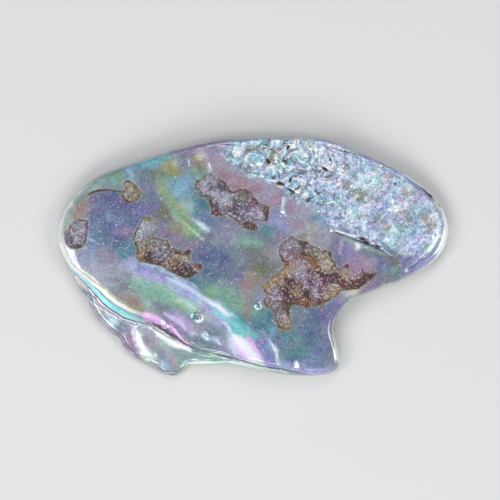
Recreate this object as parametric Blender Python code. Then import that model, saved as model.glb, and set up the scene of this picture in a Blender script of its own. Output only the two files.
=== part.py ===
"""Abalone shell: one polished, free-form piece of a sea shell's wall.

The piece is a plate about 3 mm thick, arched like the shell that it grew in. It lies on
its hollow side and touches the ground at both ends, at the tip of the tongue and at the
frill's lobe, where it is ground flat. Every solid form is worked out as a height above
the ground at a place in the plan: the arch, the rounded rim, the layered lip that steps
down to the frill, the folds beside it, the rough muscle scar and the small pearls.

Lengths below are in millimetres, +X right, +Y away and +Z up, with the origin under the
middle of the piece's bounding box. They are turned to metres when the mesh is made.
"""

import math

import bmesh
import bpy
import numpy as np

MM = 0.001

# Driving sizes
WALL = 2.9  # thickness of the shell's wall
ARCH_LIFT = 3.0  # height of the arched underside over the ground, at its crown
ARCH_CROWN = (0.5, 5.0)  # where in the plan the arch is highest
ARCH_FALL_X = 0.0031  # how fast the arch falls away along the length, per mm squared
ARCH_FALL_Y = 0.0049  # and across it
FOLD_UNDER = 0.55  # share of a fold's height that shows on the underside

# The layered lip, which steps down from the upper layer to the frill
LIP_DROP = 1.25
RISERS = (0.42, 0.80, 0.97)  # places of the steps, as shares of the lip's slope
RISER_PART = 0.14  # each step's part of the drop
RISER_HALF_WIDTH = 0.05

# Rounding of the rim, as the width that it takes up in the plan
RIM_WIDTH = 1.15
RIM_WIDTH_LEFT = 2.3
LEFT_END = (-31.0, 2.5)
LEFT_REACH = 9.0
UNDER_RIM_WIDTH = 0.8
FRILL_RIM_WIDTH = 0.55

# Mesh
CENTRE = (-2.0, 1.0)  # the whole outline can be seen from here
SECTORS = 320
RINGS = 180
RIM_CROWDING = 1.7  # above 1, the rings crowd towards the rim
TRIANGLES = 9300
GROUND_SNAP = 0.03  # points this near the ground lie on it

# The outline, anticlockwise from the right end. It is a smooth closed curve through these.
OUTLINE = [
    (32.5, 4.2), (32.1, 6.6), (30.9, 9.0), (29.0, 11.0), (26.8, 12.75), (24.3, 14.35),
    (21.0, 15.75), (18.4, 16.95), (15.8, 18.2), (13.4, 19.15), (10.4, 19.65), (5.0, 19.75),
    (-1.0, 19.65), (-6.9, 19.1), (-12.1, 17.9), (-17.0, 16.4), (-22.0, 14.7), (-24.6, 13.85),
    (-26.5, 12.9), (-28.2, 11.5), (-30.1, 9.4), (-31.6, 7.3), (-32.4, 4.9), (-32.45, 2.5),
    (-31.9, 0.7), (-30.0, -3.3), (-28.3, -6.2), (-27.4, -6.9), (-27.2, -8.0), (-25.8, -10.4),
    (-23.4, -12.8), (-22.2, -13.6), (-21.5, -14.9), (-19.4, -16.9), (-16.5, -18.4),
    (-14.6, -19.5), (-13.0, -19.75), (-11.6, -19.0), (-10.6, -18.1), (-8.1, -18.1),
    (-5.3, -18.0), (-3.8, -17.9), (1.2, -18.8), (6.1, -19.6), (11.1, -19.7), (13.6, -18.9),
    (14.3, -17.2), (13.8, -14.8), (13.2, -12.3), (13.9, -9.9), (16.0, -7.8), (19.3, -6.2),
    (24.3, -4.2), (28.7, -1.9), (31.5, 0.9),
]

# The layered lip: the shoulder where the upper layer starts to fall, and the foot where
# the frill starts. Both run on past the outline, so that every point has a side.
SHOULDER = [
    (-35.0, 3.0), (-31.9, 0.2), (-28.6, -2.4), (-25.3, -4.7), (-22.3, -7.2), (-19.5, -8.7),
    (-16.2, -9.8), (-13.4, -11.8), (-10.4, -14.2), (-8.0, -15.4), (-4.6, -16.0),
    (0.3, -17.2), (4.5, -18.1), (10.5, -19.4), (16.0, -21.5),
]
FOOT = [
    (-34.0, 2.0), (-30.7, -1.9), (-27.8, -5.2), (-25.3, -8.0), (-22.0, -10.4), (-18.7, -11.6),
    (-16.6, -12.6), (-12.4, -14.8), (-9.1, -16.1), (-4.6, -16.9), (0.3, -18.0), (4.5, -18.7),
    (9.0, -19.9), (15.0, -22.5),
]

# Folds of the wall: points, height, width on the right hand, width on the left hand,
# and the shares of the height at the fold's start and end
FOLDS = {
    "great_fold": ([(-24.5, 1.2), (-21.1, -0.9), (-17.0, -2.7), (-12.1, -5.0), (-7.8, -7.6),
                    (-4.4, -10.6), (-1.6, -14.6), (0.4, -18.2)], 0.80, 1.5, 4.2, 0.25, 1.0),
    "trough": ([(-20.0, -4.6), (-14.0, -7.4), (-9.0, -10.6), (-5.0, -14.6)],
               -0.22, 2.2, 2.2, 0.5, 1.0),
    "tongue_fold": ([(1.6, -12.0), (3.2, -14.4), (4.4, -18.2)], 0.28, 0.8, 1.6, 0.4, 1.0),
    "green_ridge": ([(-15.6, 12.6), (-14.4, 9.5), (-12.7, 7.2), (-10.3, 5.1), (-7.6, 2.7)],
                    0.26, 0.9, 1.4, 0.5, 1.0),
    "frill_ridge": ([(-18.9, -12.6), (-18.2, -14.8), (-16.8, -17.4)], 0.26, 0.7, 0.8, 1.0, 0.8),
    "lobe_ridge": ([(-15.6, -16.4), (-14.1, -19.0)], 0.16, 0.6, 0.6, 1.0, 1.0),
}

# Narrow grooves: points, depth and half width
GROOVES = {
    "scar_crack": ([(13.2, 3.7), (15.2, 3.1), (18.4, 2.1), (20.7, 0.9), (22.6, -0.3),
                    (24.0, -1.4)], 0.26, 0.38),
    "rim_groove": ([(12.7, 18.1), (16.0, 16.8), (21.8, 14.3), (25.1, 12.5), (28.6, 10.2),
                    (30.8, 7.2), (31.1, 4.6), (30.3, 2.0), (28.4, -0.4), (25.6, -2.4)],
                   0.16, 0.36),
}

# Pearls and pits on the polished face: place, radius and height
BUMPS = [
    ((-9.3, -10.1), 0.95, 0.34),
    ((1.2, -8.4), 0.75, 0.36),
    ((5.0, 6.6), 0.70, 0.30),
    ((-7.6, -13.2), 0.70, 0.20),
    ((7.5, -17.9), 0.60, 0.22),
    ((-13.4, 14.1), 1.50, 0.16),
    ((-9.1, 15.2), 1.70, 0.16),
    ((18.3, 2.1), 0.75, -0.40),
    ((20.6, 1.2), 0.60, -0.28),
]

# Worn islands, where the top layer is rubbed through: outlines, anticlockwise
ISLANDS = {
    "left": [
        (-31.3, 3.6), (-30.9, 1.9), (-29.4, 1.1), (-28.1, 1.6), (-27.4, 3.1), (-27.3, 5.6),
        (-28.6, 6.1), (-30.2, 5.2),
    ],
    "top": [
        (-21.2, 11.6), (-21.7, 9.9), (-20.3, 8.6), (-18.8, 9.3), (-18.5, 10.4), (-19.2, 11.5),
        (-20.5, 12.4),
    ],
    "middle": [
        (-19.2, 4.5), (-19.7, 3.0), (-19.0, 0.7), (-19.3, -0.3), (-18.0, -1.2), (-15.7, -1.7),
        (-13.4, -3.0), (-11.1, -3.8), (-9.8, -3.5), (-8.3, -2.1), (-9.8, -1.5), (-10.3, -0.2),
        (-9.9, 0.6), (-11.4, 0.5), (-13.5, 1.4), (-14.5, 2.6), (-16.4, 3.1), (-15.6, 4.6),
        (-16.2, 5.8), (-17.5, 6.4),
    ],
    "upper": [
        (-9.3, 10.6), (-8.6, 9.7), (-7.4, 9.3), (-7.0, 7.8), (-6.4, 6.2), (-4.5, 6.4),
        (-2.8, 5.5), (-0.8, 4.0), (0.7, 4.2), (0.3, 5.3), (2.2, 5.5), (2.6, 8.2), (1.0, 8.4),
        (-0.6, 10.2), (-1.7, 10.8), (-3.6, 10.2), (-5.0, 12.3), (-6.4, 13.0), (-7.1, 13.4),
        (-9.2, 12.2),
    ],
    "lower": [
        (5.8, 2.8), (4.2, 0.7), (5.0, -1.7), (3.0, -3.9), (1.4, -5.3), (2.1, -6.7), (1.7, -8.2),
        (3.0, -9.2), (4.1, -12.1), (5.8, -12.6), (6.3, -12.0), (6.2, -9.2), (7.3, -8.4),
        (10.7, -8.6), (12.2, -7.8), (14.5, -6.2), (17.8, -5.3), (20.3, -3.5), (19.8, -2.1),
        (17.3, -2.1), (15.5, -1.6), (14.2, -2.2), (12.9, -0.2), (12.1, 0.7), (10.1, 1.5),
        (6.4, 3.2),
    ],
}
ISLAND_DEPTH = 0.13

# The muscle scar, a rough field along the upper right, anticlockwise
SCAR = [
    (30.0, 4.6), (27.5, 9.4), (20.0, 14.4), (12.0, 17.6), (4.0, 18.2), (-3.0, 17.2),
    (-4.4, 15.4), (-1.0, 13.4), (3.6, 10.8), (8.6, 8.2), (12.8, 4.8), (17.5, 3.1), (24.0, 0.4),
    (28.0, 0.6),
]
SCAR_LIFT = 0.10
SCAR_LUMP = 2.1  # width of one lump
SCAR_LUMP_HEIGHT = 0.34
LUMP_SEED = 4


def smooth_curve(points, count, closed):
    """Points evenly spaced along a Catmull-Rom curve through the given ones."""
    knots = np.array(points, float)
    if closed:
        knots = np.vstack([knots[-1], knots, knots[0], knots[1]])
    else:
        knots = np.vstack([2 * knots[0] - knots[1], knots, 2 * knots[-1] - knots[-2]])
    t = np.linspace(0, 1, 24, endpoint=False)[:, None]
    pieces = []
    for before, start, end, after in zip(knots[:-3], knots[1:-2], knots[2:-1], knots[3:]):
        pieces.append(0.5 * (
            2 * start + (end - before) * t
            + (2 * before - 5 * start + 4 * end - after) * t ** 2
            + (3 * start - before - 3 * end + after) * t ** 3))
    fine = np.vstack(pieces + [knots[-2][None]])
    along = np.r_[0, np.cumsum(np.hypot(*np.diff(fine, axis=0).T))]
    wanted = np.linspace(0, along[-1], count + 1 if closed else count)
    even = np.column_stack([np.interp(wanted, along, fine[:, k]) for k in (0, 1)])
    return even


def nearest(places, curve):
    """Distance from each place to a curve, the side (+1 on its left hand) and the share along it."""
    start, step = curve[:-1], np.diff(curve, axis=0)
    length_squared = (step ** 2).sum(1)
    distance, side, along = [], [], []
    for chunk in np.array_split(places, max(1, len(places) // 4000)):
        to_place = chunk[:, None] - start
        share = np.clip((to_place * step).sum(2) / length_squared, 0, 1)
        offset = to_place - share[..., None] * step
        squared = (offset ** 2).sum(2)
        best = squared.argmin(1)
        row = np.arange(len(chunk))
        turn = step[best, 0] * to_place[row, best, 1] - step[best, 1] * to_place[row, best, 0]
        distance.append(np.sqrt(squared[row, best]))
        side.append(np.where(turn >= 0, 1.0, -1.0))
        along.append((best + share[row, best]) / len(step))
    return np.concatenate(distance), np.concatenate(side), np.concatenate(along)


def smooth_step(value, low, high):
    """0 below low, 1 above high and an even S between them."""
    t = np.clip((value - low) / (high - low), 0, 1)
    return t * t * (3 - 2 * t)


def bell(value, width):
    """A hump of height 1 that has all but gone two widths from its middle."""
    return np.exp(-(value / width) ** 2)


def lumps(places, width, seed):
    """Rounded lumps packed side by side: a cell pattern whose middles stand up, from 0 to 1."""
    rng = np.random.default_rng(seed)
    shift = rng.uniform(0.15, 0.85, (64, 64, 2))
    height = rng.uniform(0.35, 1.0, (64, 64))
    cell = np.floor(places / width).astype(int)
    found = np.zeros(len(places))
    for dx in (-1, 0, 1):
        for dy in (-1, 0, 1):
            column, row = (cell[:, 0] + dx) % 64, (cell[:, 1] + dy) % 64
            middle = (cell + (dx, dy) + shift[column, row]) * width
            apart = np.hypot(*(places - middle).T) / width
            found = np.maximum(found, height[column, row] * np.clip(1 - apart ** 2, 0, 1))
    return found


def arch(places):
    """Height of the plain arched wall's underside, which dips below the ground at the feet."""
    dx = places[:, 0] - ARCH_CROWN[0]
    dy = places[:, 1] - ARCH_CROWN[1]
    return ARCH_LIFT - ARCH_FALL_X * dx ** 2 - ARCH_FALL_Y * dy ** 2


def lip_fall(places):
    """0 on the upper layer, 1 on the frill, and the share of the slope between the two lines."""
    above_shoulder, side_shoulder, _ = nearest(places, smooth_curve(SHOULDER, 240, False))
    above_foot, side_foot, _ = nearest(places, smooth_curve(FOOT, 240, False))
    below = np.clip(-above_shoulder * side_shoulder, 0, None)
    above = np.clip(above_foot * side_foot, 0, None)
    share = below / np.maximum(below + above, 1e-9)
    fall = (1 - RISER_PART * len(RISERS)) * smooth_step(share, -0.2, 1.1) / smooth_step(1, -0.2, 1.1)
    for place in RISERS:
        fall += RISER_PART * smooth_step(share, place - RISER_HALF_WIDTH, place + RISER_HALF_WIDTH)
    return np.clip(fall, 0, 1) * smooth_step(share, 0, 0.2)


def in_scar(places, inset):
    """1 well inside the muscle scar, 0 outside it."""
    distance, side, _ = nearest(places, smooth_curve(SCAR, 240, True))
    return smooth_step(distance * side, -0.4, 0.8) * smooth_step(inset, 0.9, 1.6)


def in_islands(places):
    """1 inside a worn island, 0 outside it."""
    deepest = np.full(len(places), -np.inf)
    for points in ISLANDS.values():
        distance, side, _ = nearest(places, smooth_curve(points, 120, True))
        deepest = np.maximum(deepest, distance * side)
    return smooth_step(deepest, -0.15, 0.35)


def folds(places):
    """Height of the folds, which bend the whole wall."""
    height = np.zeros(len(places))
    for points, rise, right, left, first, last in FOLDS.values():
        distance, side, along = nearest(places, smooth_curve(points, 120, False))
        width = np.where(side > 0, left, right)
        height += rise * (first + (last - first) * along) * bell(distance, width)
    return height


def relief(places, inset):
    """Height of the grooves, pearls, scar and islands on the polished face."""
    height = np.zeros(len(places))
    for points, depth, half_width in GROOVES.values():
        distance, _, _ = nearest(places, smooth_curve(points, 120, False))
        height -= depth * bell(distance, half_width)
    for middle, radius, rise in BUMPS:
        height += rise * bell(np.hypot(*(places - middle).T), radius)
    scar = in_scar(places, inset)
    height += scar * (SCAR_LIFT + SCAR_LUMP_HEIGHT * (lumps(places, SCAR_LUMP, LUMP_SEED) - 0.5))
    height -= ISLAND_DEPTH * in_islands(places)
    return height


def rounding(inset, width):
    """A quarter of an ellipse: 0 on the outline, 1 from width inwards."""
    return np.sqrt(1 - (1 - np.clip(inset / width, 0, 1)) ** 2)


def heights(places, outline, upper):
    """Height over the ground of the polished face, or of the underside."""
    inset, _, _ = nearest(places, outline)
    fall = lip_fall(places)
    bend = folds(places)
    wall_under = arch(places) + FOLD_UNDER * bend
    under = np.maximum(wall_under, 0)
    top = wall_under + WALL - LIP_DROP * fall + (1 - FOLD_UNDER) * bend
    middle = (under + top) / 2
    if not upper:
        return middle - (middle - under) * rounding(inset, UNDER_RIM_WIDTH)
    from_left = np.hypot(*(places - LEFT_END).T)
    width = RIM_WIDTH + (RIM_WIDTH_LEFT - RIM_WIDTH) * bell(from_left, LEFT_REACH)
    width = width + (FRILL_RIM_WIDTH - width) * smooth_step(fall, 0.3, 1.0)
    return middle + (top + relief(places, inset) - middle) * rounding(inset, width)


def shape_shell(bm):
    """Moves the points of a ball: its girdle onto the outline, its halves onto the two faces."""
    outline = smooth_curve(OUTLINE, 720, True)
    ball = np.array([vert.co for vert in bm.verts])
    turn = np.mod(np.arctan2(ball[:, 1], ball[:, 0]) / math.tau, 1) * (len(outline) - 1)
    latitude = np.arcsin(np.clip(ball[:, 2], -1, 1))
    reach = 1 - (np.abs(latitude) / (math.pi / 2)) ** RIM_CROWDING
    share = np.arange(len(outline))
    rim = np.column_stack([np.interp(turn, share, outline[:, k]) for k in (0, 1)])
    places = np.array(CENTRE) + (rim - CENTRE) * reach[:, None]
    z = np.empty(len(places))
    for upper in (True, False):
        chosen = (latitude >= 0) == upper
        z[chosen] = heights(places[chosen], outline, upper)
    for vert, (x, y), height in zip(bm.verts, places, z):
        vert.co = (x * MM, y * MM, height * MM)


def thin_out(shell):
    """Takes out the triangles that the shape doesn't need, and puts the feet back on the ground."""
    shell.data.calc_loop_triangles()
    fewer = shell.modifiers.new("Fewer triangles", "DECIMATE")
    fewer.ratio = TRIANGLES / len(shell.data.loop_triangles)
    graph = bpy.context.evaluated_depsgraph_get()
    thinned = bpy.data.meshes.new_from_object(shell.evaluated_get(graph))
    shell.modifiers.clear()
    shell.data = thinned
    for vert in shell.data.vertices:
        if abs(vert.co.z) < GROUND_SNAP * MM:
            vert.co.z = 0


def nacre():
    """Pearly, softly glossy nacre."""
    material = bpy.data.materials.new("nacre")
    material.use_nodes = True
    shader = material.node_tree.nodes["Principled BSDF"]
    shader.inputs["Base Color"].default_value = (0.33, 0.40, 0.45, 1)
    shader.inputs["Roughness"].default_value = 0.28
    shader.inputs["Metallic"].default_value = 0.2
    return material


def abalone_shell(collection):
    """The whole piece, as one closed solid."""
    bm = bmesh.new()
    bmesh.ops.create_uvsphere(bm, u_segments=SECTORS, v_segments=RINGS, radius=1)
    shape_shell(bm)
    mesh = bpy.data.meshes.new("abalone_shell")
    bm.to_mesh(mesh)
    bm.free()
    shell = bpy.data.objects.new("abalone_shell", mesh)
    collection.objects.link(shell)
    thin_out(shell)
    shell.data.name = "abalone_shell"
    shell.data.materials.append(nacre())
    shell.data.shade_smooth()
    shell.data.set_sharp_from_angle(angle=math.radians(50))
    return shell


def main():
    for old in list(bpy.data.objects):
        bpy.data.objects.remove(old)
    collection = bpy.data.collections.new("abalone_shell")
    bpy.context.scene.collection.children.link(collection)
    abalone_shell(collection)


main()
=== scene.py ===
# %% [markdown]
# # A polished piece of abalone shell
#
# An abalone's shell is a bowl of nacre: thousands of thin layers of aragonite, stacked like
# sheets of paper. Where light is thrown back by a stack of even layers, it comes back
# coloured, and the colour changes with the layers' thickness. This is one free-form piece of
# such a wall, 65 mm long, cut out, smoothed and polished until the layers show as clouds of
# blue, green and rose. Along its lower left side the layers end one after another, like
# stairs, and the last of them runs out in a thin frill. The rough, glittering field at the
# upper right is the scar where the animal's muscle held on to its shell.
#
# The whole piece grew as one, so it is one mesh here. Its plan was read off the photograph.
# Lengths are millimetres, and they are turned to metres when the mesh is made.

# %% Load the frame
import math

import bpy
import numpy as np
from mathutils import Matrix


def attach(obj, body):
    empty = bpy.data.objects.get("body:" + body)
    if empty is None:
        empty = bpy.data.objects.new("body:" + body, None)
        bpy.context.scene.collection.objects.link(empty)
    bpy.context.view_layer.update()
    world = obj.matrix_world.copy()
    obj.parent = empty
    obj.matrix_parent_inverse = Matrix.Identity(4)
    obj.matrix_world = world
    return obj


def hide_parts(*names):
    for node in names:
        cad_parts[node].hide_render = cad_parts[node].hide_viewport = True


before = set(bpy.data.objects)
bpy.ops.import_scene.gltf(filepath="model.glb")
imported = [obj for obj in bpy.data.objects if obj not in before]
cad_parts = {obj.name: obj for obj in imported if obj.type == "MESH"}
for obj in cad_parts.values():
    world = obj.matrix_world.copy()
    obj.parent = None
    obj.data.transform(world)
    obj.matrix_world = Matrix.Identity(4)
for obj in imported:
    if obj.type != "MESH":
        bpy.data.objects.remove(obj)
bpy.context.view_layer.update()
MM = 0.001

# %% [markdown]
# ## The camera
#
# The photograph was taken standing over the piece, almost straight down. A long lens 300 mm
# away keeps the far rim and the near rim at nearly the same scale, as they are there. The
# frame takes in 82.6 mm at the height of the piece, a little to the left of its middle.

# %% Camera
VIEW_WIDTH = 82.6
VIEW_MIDDLE = (-0.5, 0.9, 3.0)
DISTANCE = 300.0
ELEVATION = 85.0

camera_data = bpy.data.cameras.new("camera")
camera_data.sensor_width = 36
camera_data.lens = 36 * DISTANCE / VIEW_WIDTH
camera_data.clip_start = 0.01
camera = bpy.data.objects.new("camera", camera_data)
tilt = math.radians(90 - ELEVATION)
camera.location = (VIEW_MIDDLE[0] * MM, (VIEW_MIDDLE[1] - DISTANCE * math.sin(tilt)) * MM,
                   (VIEW_MIDDLE[2] + DISTANCE * math.cos(tilt)) * MM)
camera.rotation_euler = (tilt, 0, 0)
bpy.context.scene.collection.objects.link(camera)
bpy.context.scene.camera = camera
print("lens", round(camera_data.lens, 1), "mm")

# %% [markdown]
# ## Curves to measure from
#
# Nearly everything on the piece follows a line: the rim, the lip, a fold, the border of a
# worn patch. So each line is kept as a few points with a smooth curve through them, and
# the shape and the colours are worked out from the distance to it. A distance with a sign
# also says which side of the line a place is on. Working with whole arrays at once keeps
# this quick for tens of thousands of places.

# %% Smooth curves and distances
def smooth_curve(points, count, closed=False):
    """Points evenly spaced along a Catmull-Rom curve, a cubic that passes through each given
    point in the direction of the line between its two neighbours."""
    knots = np.array(points, float)
    if closed:
        knots = np.vstack([knots[-1], knots, knots[0], knots[1]])
    else:
        knots = np.vstack([2 * knots[0] - knots[1], knots, 2 * knots[-1] - knots[-2]])
    t = np.linspace(0, 1, 24, endpoint=False)[:, None]
    pieces = []
    for before, start, end, after in zip(knots[:-3], knots[1:-2], knots[2:-1], knots[3:]):
        pieces.append(0.5 * (2 * start + (end - before) * t
                             + (2 * before - 5 * start + 4 * end - after) * t ** 2
                             + (3 * start - before - 3 * end + after) * t ** 3))
    fine = np.vstack(pieces + [knots[-2][None]])
    along = np.r_[0, np.cumsum(np.hypot(*np.diff(fine, axis=0).T))]
    wanted = np.linspace(0, along[-1], count + 1 if closed else count)
    return np.column_stack([np.interp(wanted, along, fine[:, k]) for k in (0, 1)])


def nearest(places, curve):
    """Distance to a curve, the side (+1 on its left hand) and the share along it. The curve's
    nearest point comes first, then the two segments that meet there are measured exactly."""
    last = len(curve) - 2
    closed = np.allclose(curve[0], curve[-1])
    corner = np.empty(len(places), int)
    for first in range(0, len(places), 8000):
        some = places[first:first + 8000]
        squares = (curve ** 2).sum(1) - 2 * some @ curve.T
        corner[first:first + 8000] = squares.argmin(1)
    best = np.full(len(places), np.inf)
    side = np.ones(len(places))
    along = np.zeros(len(places))
    for segment in (corner - 1, corner):
        segment = segment % (last + 1) if closed else np.clip(segment, 0, last)
        start, step = curve[segment], curve[segment + 1] - curve[segment]
        to_place = places - start
        share = np.clip((to_place * step).sum(1) / (step ** 2).sum(1), 0, 1)
        squared = ((to_place - share[:, None] * step) ** 2).sum(1)
        closer = squared < best
        turn = step[:, 0] * to_place[:, 1] - step[:, 1] * to_place[:, 0]
        best = np.where(closer, squared, best)
        side = np.where(closer, np.where(turn >= 0, 1.0, -1.0), side)
        along = np.where(closer, (segment + share) / (last + 1), along)
    return np.sqrt(best), side, along


def signed(places, points, count, closed=False):
    """Distance to a curve, positive on its left hand, which is the inside of a closed one."""
    distance, side, _ = nearest(places, smooth_curve(points, count, closed))
    return distance * side


def smooth_step(value, low, high):
    """0 below low, 1 above high and an even S between them."""
    t = np.clip((value - low) / (high - low), 0, 1)
    return t * t * (3 - 2 * t)


def bell(value, width):
    """A hump of height 1 that has all but gone two widths from its middle."""
    return np.exp(-(value / width) ** 2)


# %% [markdown]
# ## Uneven ground
#
# Two kinds of unevenness are enough for this piece. Soft noise makes low hills, for polish
# that was done by hand and for worn borders that wander. Chips make flat facets that each
# lean their own way, like broken sugar, for the muscle scar: every place takes the sloping
# plane of the cell whose middle is nearest.

# %% Noise and chips
def soft_noise(places, size, seed):
    """Hills from -1 to 1: random values on a square lattice, blended by an S curve."""
    lattice = np.random.default_rng(seed).uniform(-1, 1, (128, 128))
    spot = places / size + 61.3
    low = np.floor(spot).astype(int)
    part = spot - low
    part = part * part * (3 - 2 * part)
    i, j = low[:, 0] % 127, low[:, 1] % 127
    lower = lattice[i, j] * (1 - part[:, 0]) + lattice[i + 1, j] * part[:, 0]
    upper = lattice[i, j + 1] * (1 - part[:, 0]) + lattice[i + 1, j + 1] * part[:, 0]
    return lower * (1 - part[:, 1]) + upper * part[:, 1]


def wandered(places, size, reach, seed):
    """The places, each pushed aside by up to reach, so that borders worked out there wander."""
    push = [soft_noise(places, size, seed + k) for k in (0, 1)]
    return places + reach * np.column_stack(push)


def chips(places, size, seed):
    """Facets: for each place, the height of its cell's leaning plane (about -1 to 1), the
    cell's own random number (0 to 1) and how far the place is from the cell's border."""
    rng = np.random.default_rng(seed)
    shift = rng.uniform(0.08, 0.92, (97, 97, 2))
    lean = rng.normal(0, 0.6, (97, 97, 2))
    level = rng.uniform(-0.6, 0.6, (97, 97))
    number = rng.uniform(0, 1, (97, 97))
    cell = np.floor(places / size).astype(int)
    first = np.full(len(places), 9.0)
    second = np.full(len(places), 9.0)
    height = np.zeros(len(places))
    chosen = np.zeros(len(places))
    for dx in (-1, 0, 1):
        for dy in (-1, 0, 1):
            i, j = (cell[:, 0] + dx) % 97, (cell[:, 1] + dy) % 97
            offset = places / size - (cell + (dx, dy) + shift[i, j])
            apart = np.hypot(*offset.T)
            closer = apart < first
            second = np.where(closer, first, np.minimum(second, apart))
            plane = level[i, j] + (offset * lean[i, j]).sum(1)
            height = np.where(closer, plane, height)
            chosen = np.where(closer, number[i, j], chosen)
            first = np.where(closer, apart, first)
    return height, chosen, (second - first) * size / 2


# %% [markdown]
# ## The plan and the solid forms
#
# These lines and heights are close to the solid model's: the outline with its tongue, bay
# and frill, the lip's two borders, the folds, the scar and the worn islands. The wall is
# arched, because it is cut from a bowl, and it lies on its hollow side.

# %% The lines of the plan, in mm
OUTLINE = [
    (32.5, 4.2), (32.1, 6.6), (30.9, 9.0), (29.0, 11.0), (26.8, 12.75), (24.3, 14.35),
    (21.0, 15.75), (18.4, 16.95), (15.8, 18.2), (13.4, 19.15), (10.4, 19.65), (5.0, 19.75),
    (-1.0, 19.65), (-6.9, 19.1), (-12.1, 17.9), (-17.0, 16.4), (-22.0, 14.7), (-24.6, 13.85),
    (-26.5, 12.9), (-28.2, 11.5), (-30.1, 9.4), (-31.6, 7.3), (-32.4, 4.9), (-32.45, 2.5),
    (-31.9, 0.7), (-30.0, -3.3), (-28.3, -6.2), (-27.4, -6.9), (-27.2, -8.0), (-25.8, -10.4),
    (-23.4, -12.8), (-22.2, -13.6), (-21.5, -14.9), (-19.4, -16.9), (-16.5, -18.4),
    (-14.6, -19.5), (-13.0, -19.75), (-11.6, -19.0), (-10.6, -18.1), (-8.1, -18.1),
    (-5.3, -18.0), (-3.8, -17.9), (1.2, -18.8), (6.1, -19.6), (11.1, -19.7), (13.6, -18.9),
    (14.3, -17.2), (13.8, -14.8), (13.2, -12.3), (13.9, -9.9), (16.0, -7.8), (19.3, -6.2),
    (24.3, -4.2), (28.7, -1.9), (31.5, 0.9),
]
SHOULDER = [
    (-35.0, 3.0), (-31.9, 0.2), (-28.6, -2.4), (-25.3, -4.7), (-22.3, -7.2), (-19.5, -8.7),
    (-16.2, -9.8), (-13.4, -11.8), (-10.4, -14.2), (-8.0, -15.4), (-4.6, -16.0),
    (0.3, -17.2), (4.5, -18.1), (10.5, -19.4), (16.0, -21.5),
]
FOOT = [
    (-34.0, 2.0), (-30.7, -1.9), (-27.8, -5.2), (-25.3, -8.0), (-22.0, -10.4), (-18.7, -11.6),
    (-16.6, -12.6), (-12.4, -14.8), (-9.1, -16.1), (-4.6, -16.9), (0.3, -18.0), (4.5, -18.7),
    (9.0, -19.9), (15.0, -22.5),
]
FOLDS = {
    "great_fold": ([(-24.5, 1.2), (-21.1, -0.9), (-17.0, -2.7), (-12.1, -5.0), (-7.8, -7.6),
                    (-4.4, -10.6), (-1.6, -14.6), (0.4, -18.2)], 0.80, 1.9, 4.2, 0.05, 1.0),
    "trough": ([(-20.0, -4.6), (-14.0, -7.4), (-9.0, -10.6), (-5.0, -14.6)],
               -0.22, 2.2, 2.2, 0.5, 1.0),
    "tongue_fold": ([(1.6, -12.0), (3.2, -14.4), (4.4, -18.2)], 0.28, 0.8, 1.6, 0.4, 1.0),
    "green_ridge": ([(-15.6, 12.6), (-14.4, 9.5), (-12.7, 7.2), (-10.3, 5.1), (-7.6, 2.7)],
                    0.26, 0.9, 1.4, 0.5, 1.0),
    "frill_ridge": ([(-18.9, -12.6), (-18.2, -14.8), (-16.8, -17.4)], 0.26, 0.7, 0.8, 1.0, 0.8),
    "lobe_ridge": ([(-15.6, -16.4), (-14.1, -19.0)], 0.16, 0.6, 0.6, 1.0, 1.0),
}
GROOVES = {
    "scar_crack": ([(13.2, 3.7), (15.2, 3.1), (18.4, 2.1), (20.7, 0.9), (22.6, -0.3),
                    (24.0, -1.4)], 0.26, 0.38),
    "rim_groove": ([(12.7, 18.1), (16.0, 16.8), (21.8, 14.3), (25.1, 12.5), (28.6, 10.2),
                    (30.8, 7.2), (31.1, 4.6), (30.3, 2.0), (28.4, -0.4), (25.6, -2.4)],
                   0.16, 0.36),
}
EYES = [((-9.2, -10.15), 0.58, 0.15), ((1.1, -8.4), 0.42, 0.24), ((4.9, 6.4), 0.32, 0.18),
        ((-14.5, -11.6), 0.40, 0.14), ((-8.8, -15.5), 0.42, 0.14)]
BUMPS = [
    ((-7.6, -13.2), 0.70, 0.20), ((7.5, -17.9), 0.60, 0.22), ((-13.4, 14.1), 1.50, 0.16),
    ((-9.1, 15.2), 1.70, 0.16), ((18.3, 2.1), 0.75, -0.40), ((20.6, 1.2), 0.60, -0.28),
]
SCAR = [
    (31.6, 4.4), (30.0, 9.6), (21.6, 15.6), (13.0, 19.4), (4.0, 19.6), (-3.0, 18.4),
    (-4.4, 15.8), (-1.0, 13.4), (3.6, 10.8), (8.6, 8.2), (12.8, 4.8), (17.5, 3.1),
    (24.0, 0.4), (28.0, 0.6),
]
print(len(OUTLINE), "points on the outline,", len(FOLDS), "folds,", len(GROOVES), "grooves")

# %% [markdown]
# Marks that are only colour, and the finer outlines of the worn islands, are kept as they
# were read off the photograph, in its pixels. One pixel is 0.165 mm on the piece, and
# the middle of the piece is at (253, 255.5), so `plan` turns a reading into millimetres.

# %% Readings and the worn islands
PIXEL = 0.16523
PIXEL_MIDDLE = (253.0, 255.5)


def plan(*readings):
    """Readings (across, down) in the photograph's pixels as places (x, y) in mm."""
    spots = np.array(readings, float)
    return (spots - PIXEL_MIDDLE) * (PIXEL, -PIXEL)


def seen_from(places, reading, lean):
    """How far the places lie from a reading, in pixels: first along an axis that leans by
    some degrees, then square to it."""
    away = (places - plan(reading)[0]) / PIXEL
    turn = math.radians(lean)
    u = away[:, 0] * math.cos(turn) + away[:, 1] * math.sin(turn)
    v = -away[:, 0] * math.sin(turn) + away[:, 1] * math.cos(turn)
    return u, v


def patch(places, reading, reach):
    """1 at a reading, falling off round it like a bell with a reach (mm) across and down."""
    return bell(np.hypot(*((places - plan(reading)[0]) / reach).T), 1.0)


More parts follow.
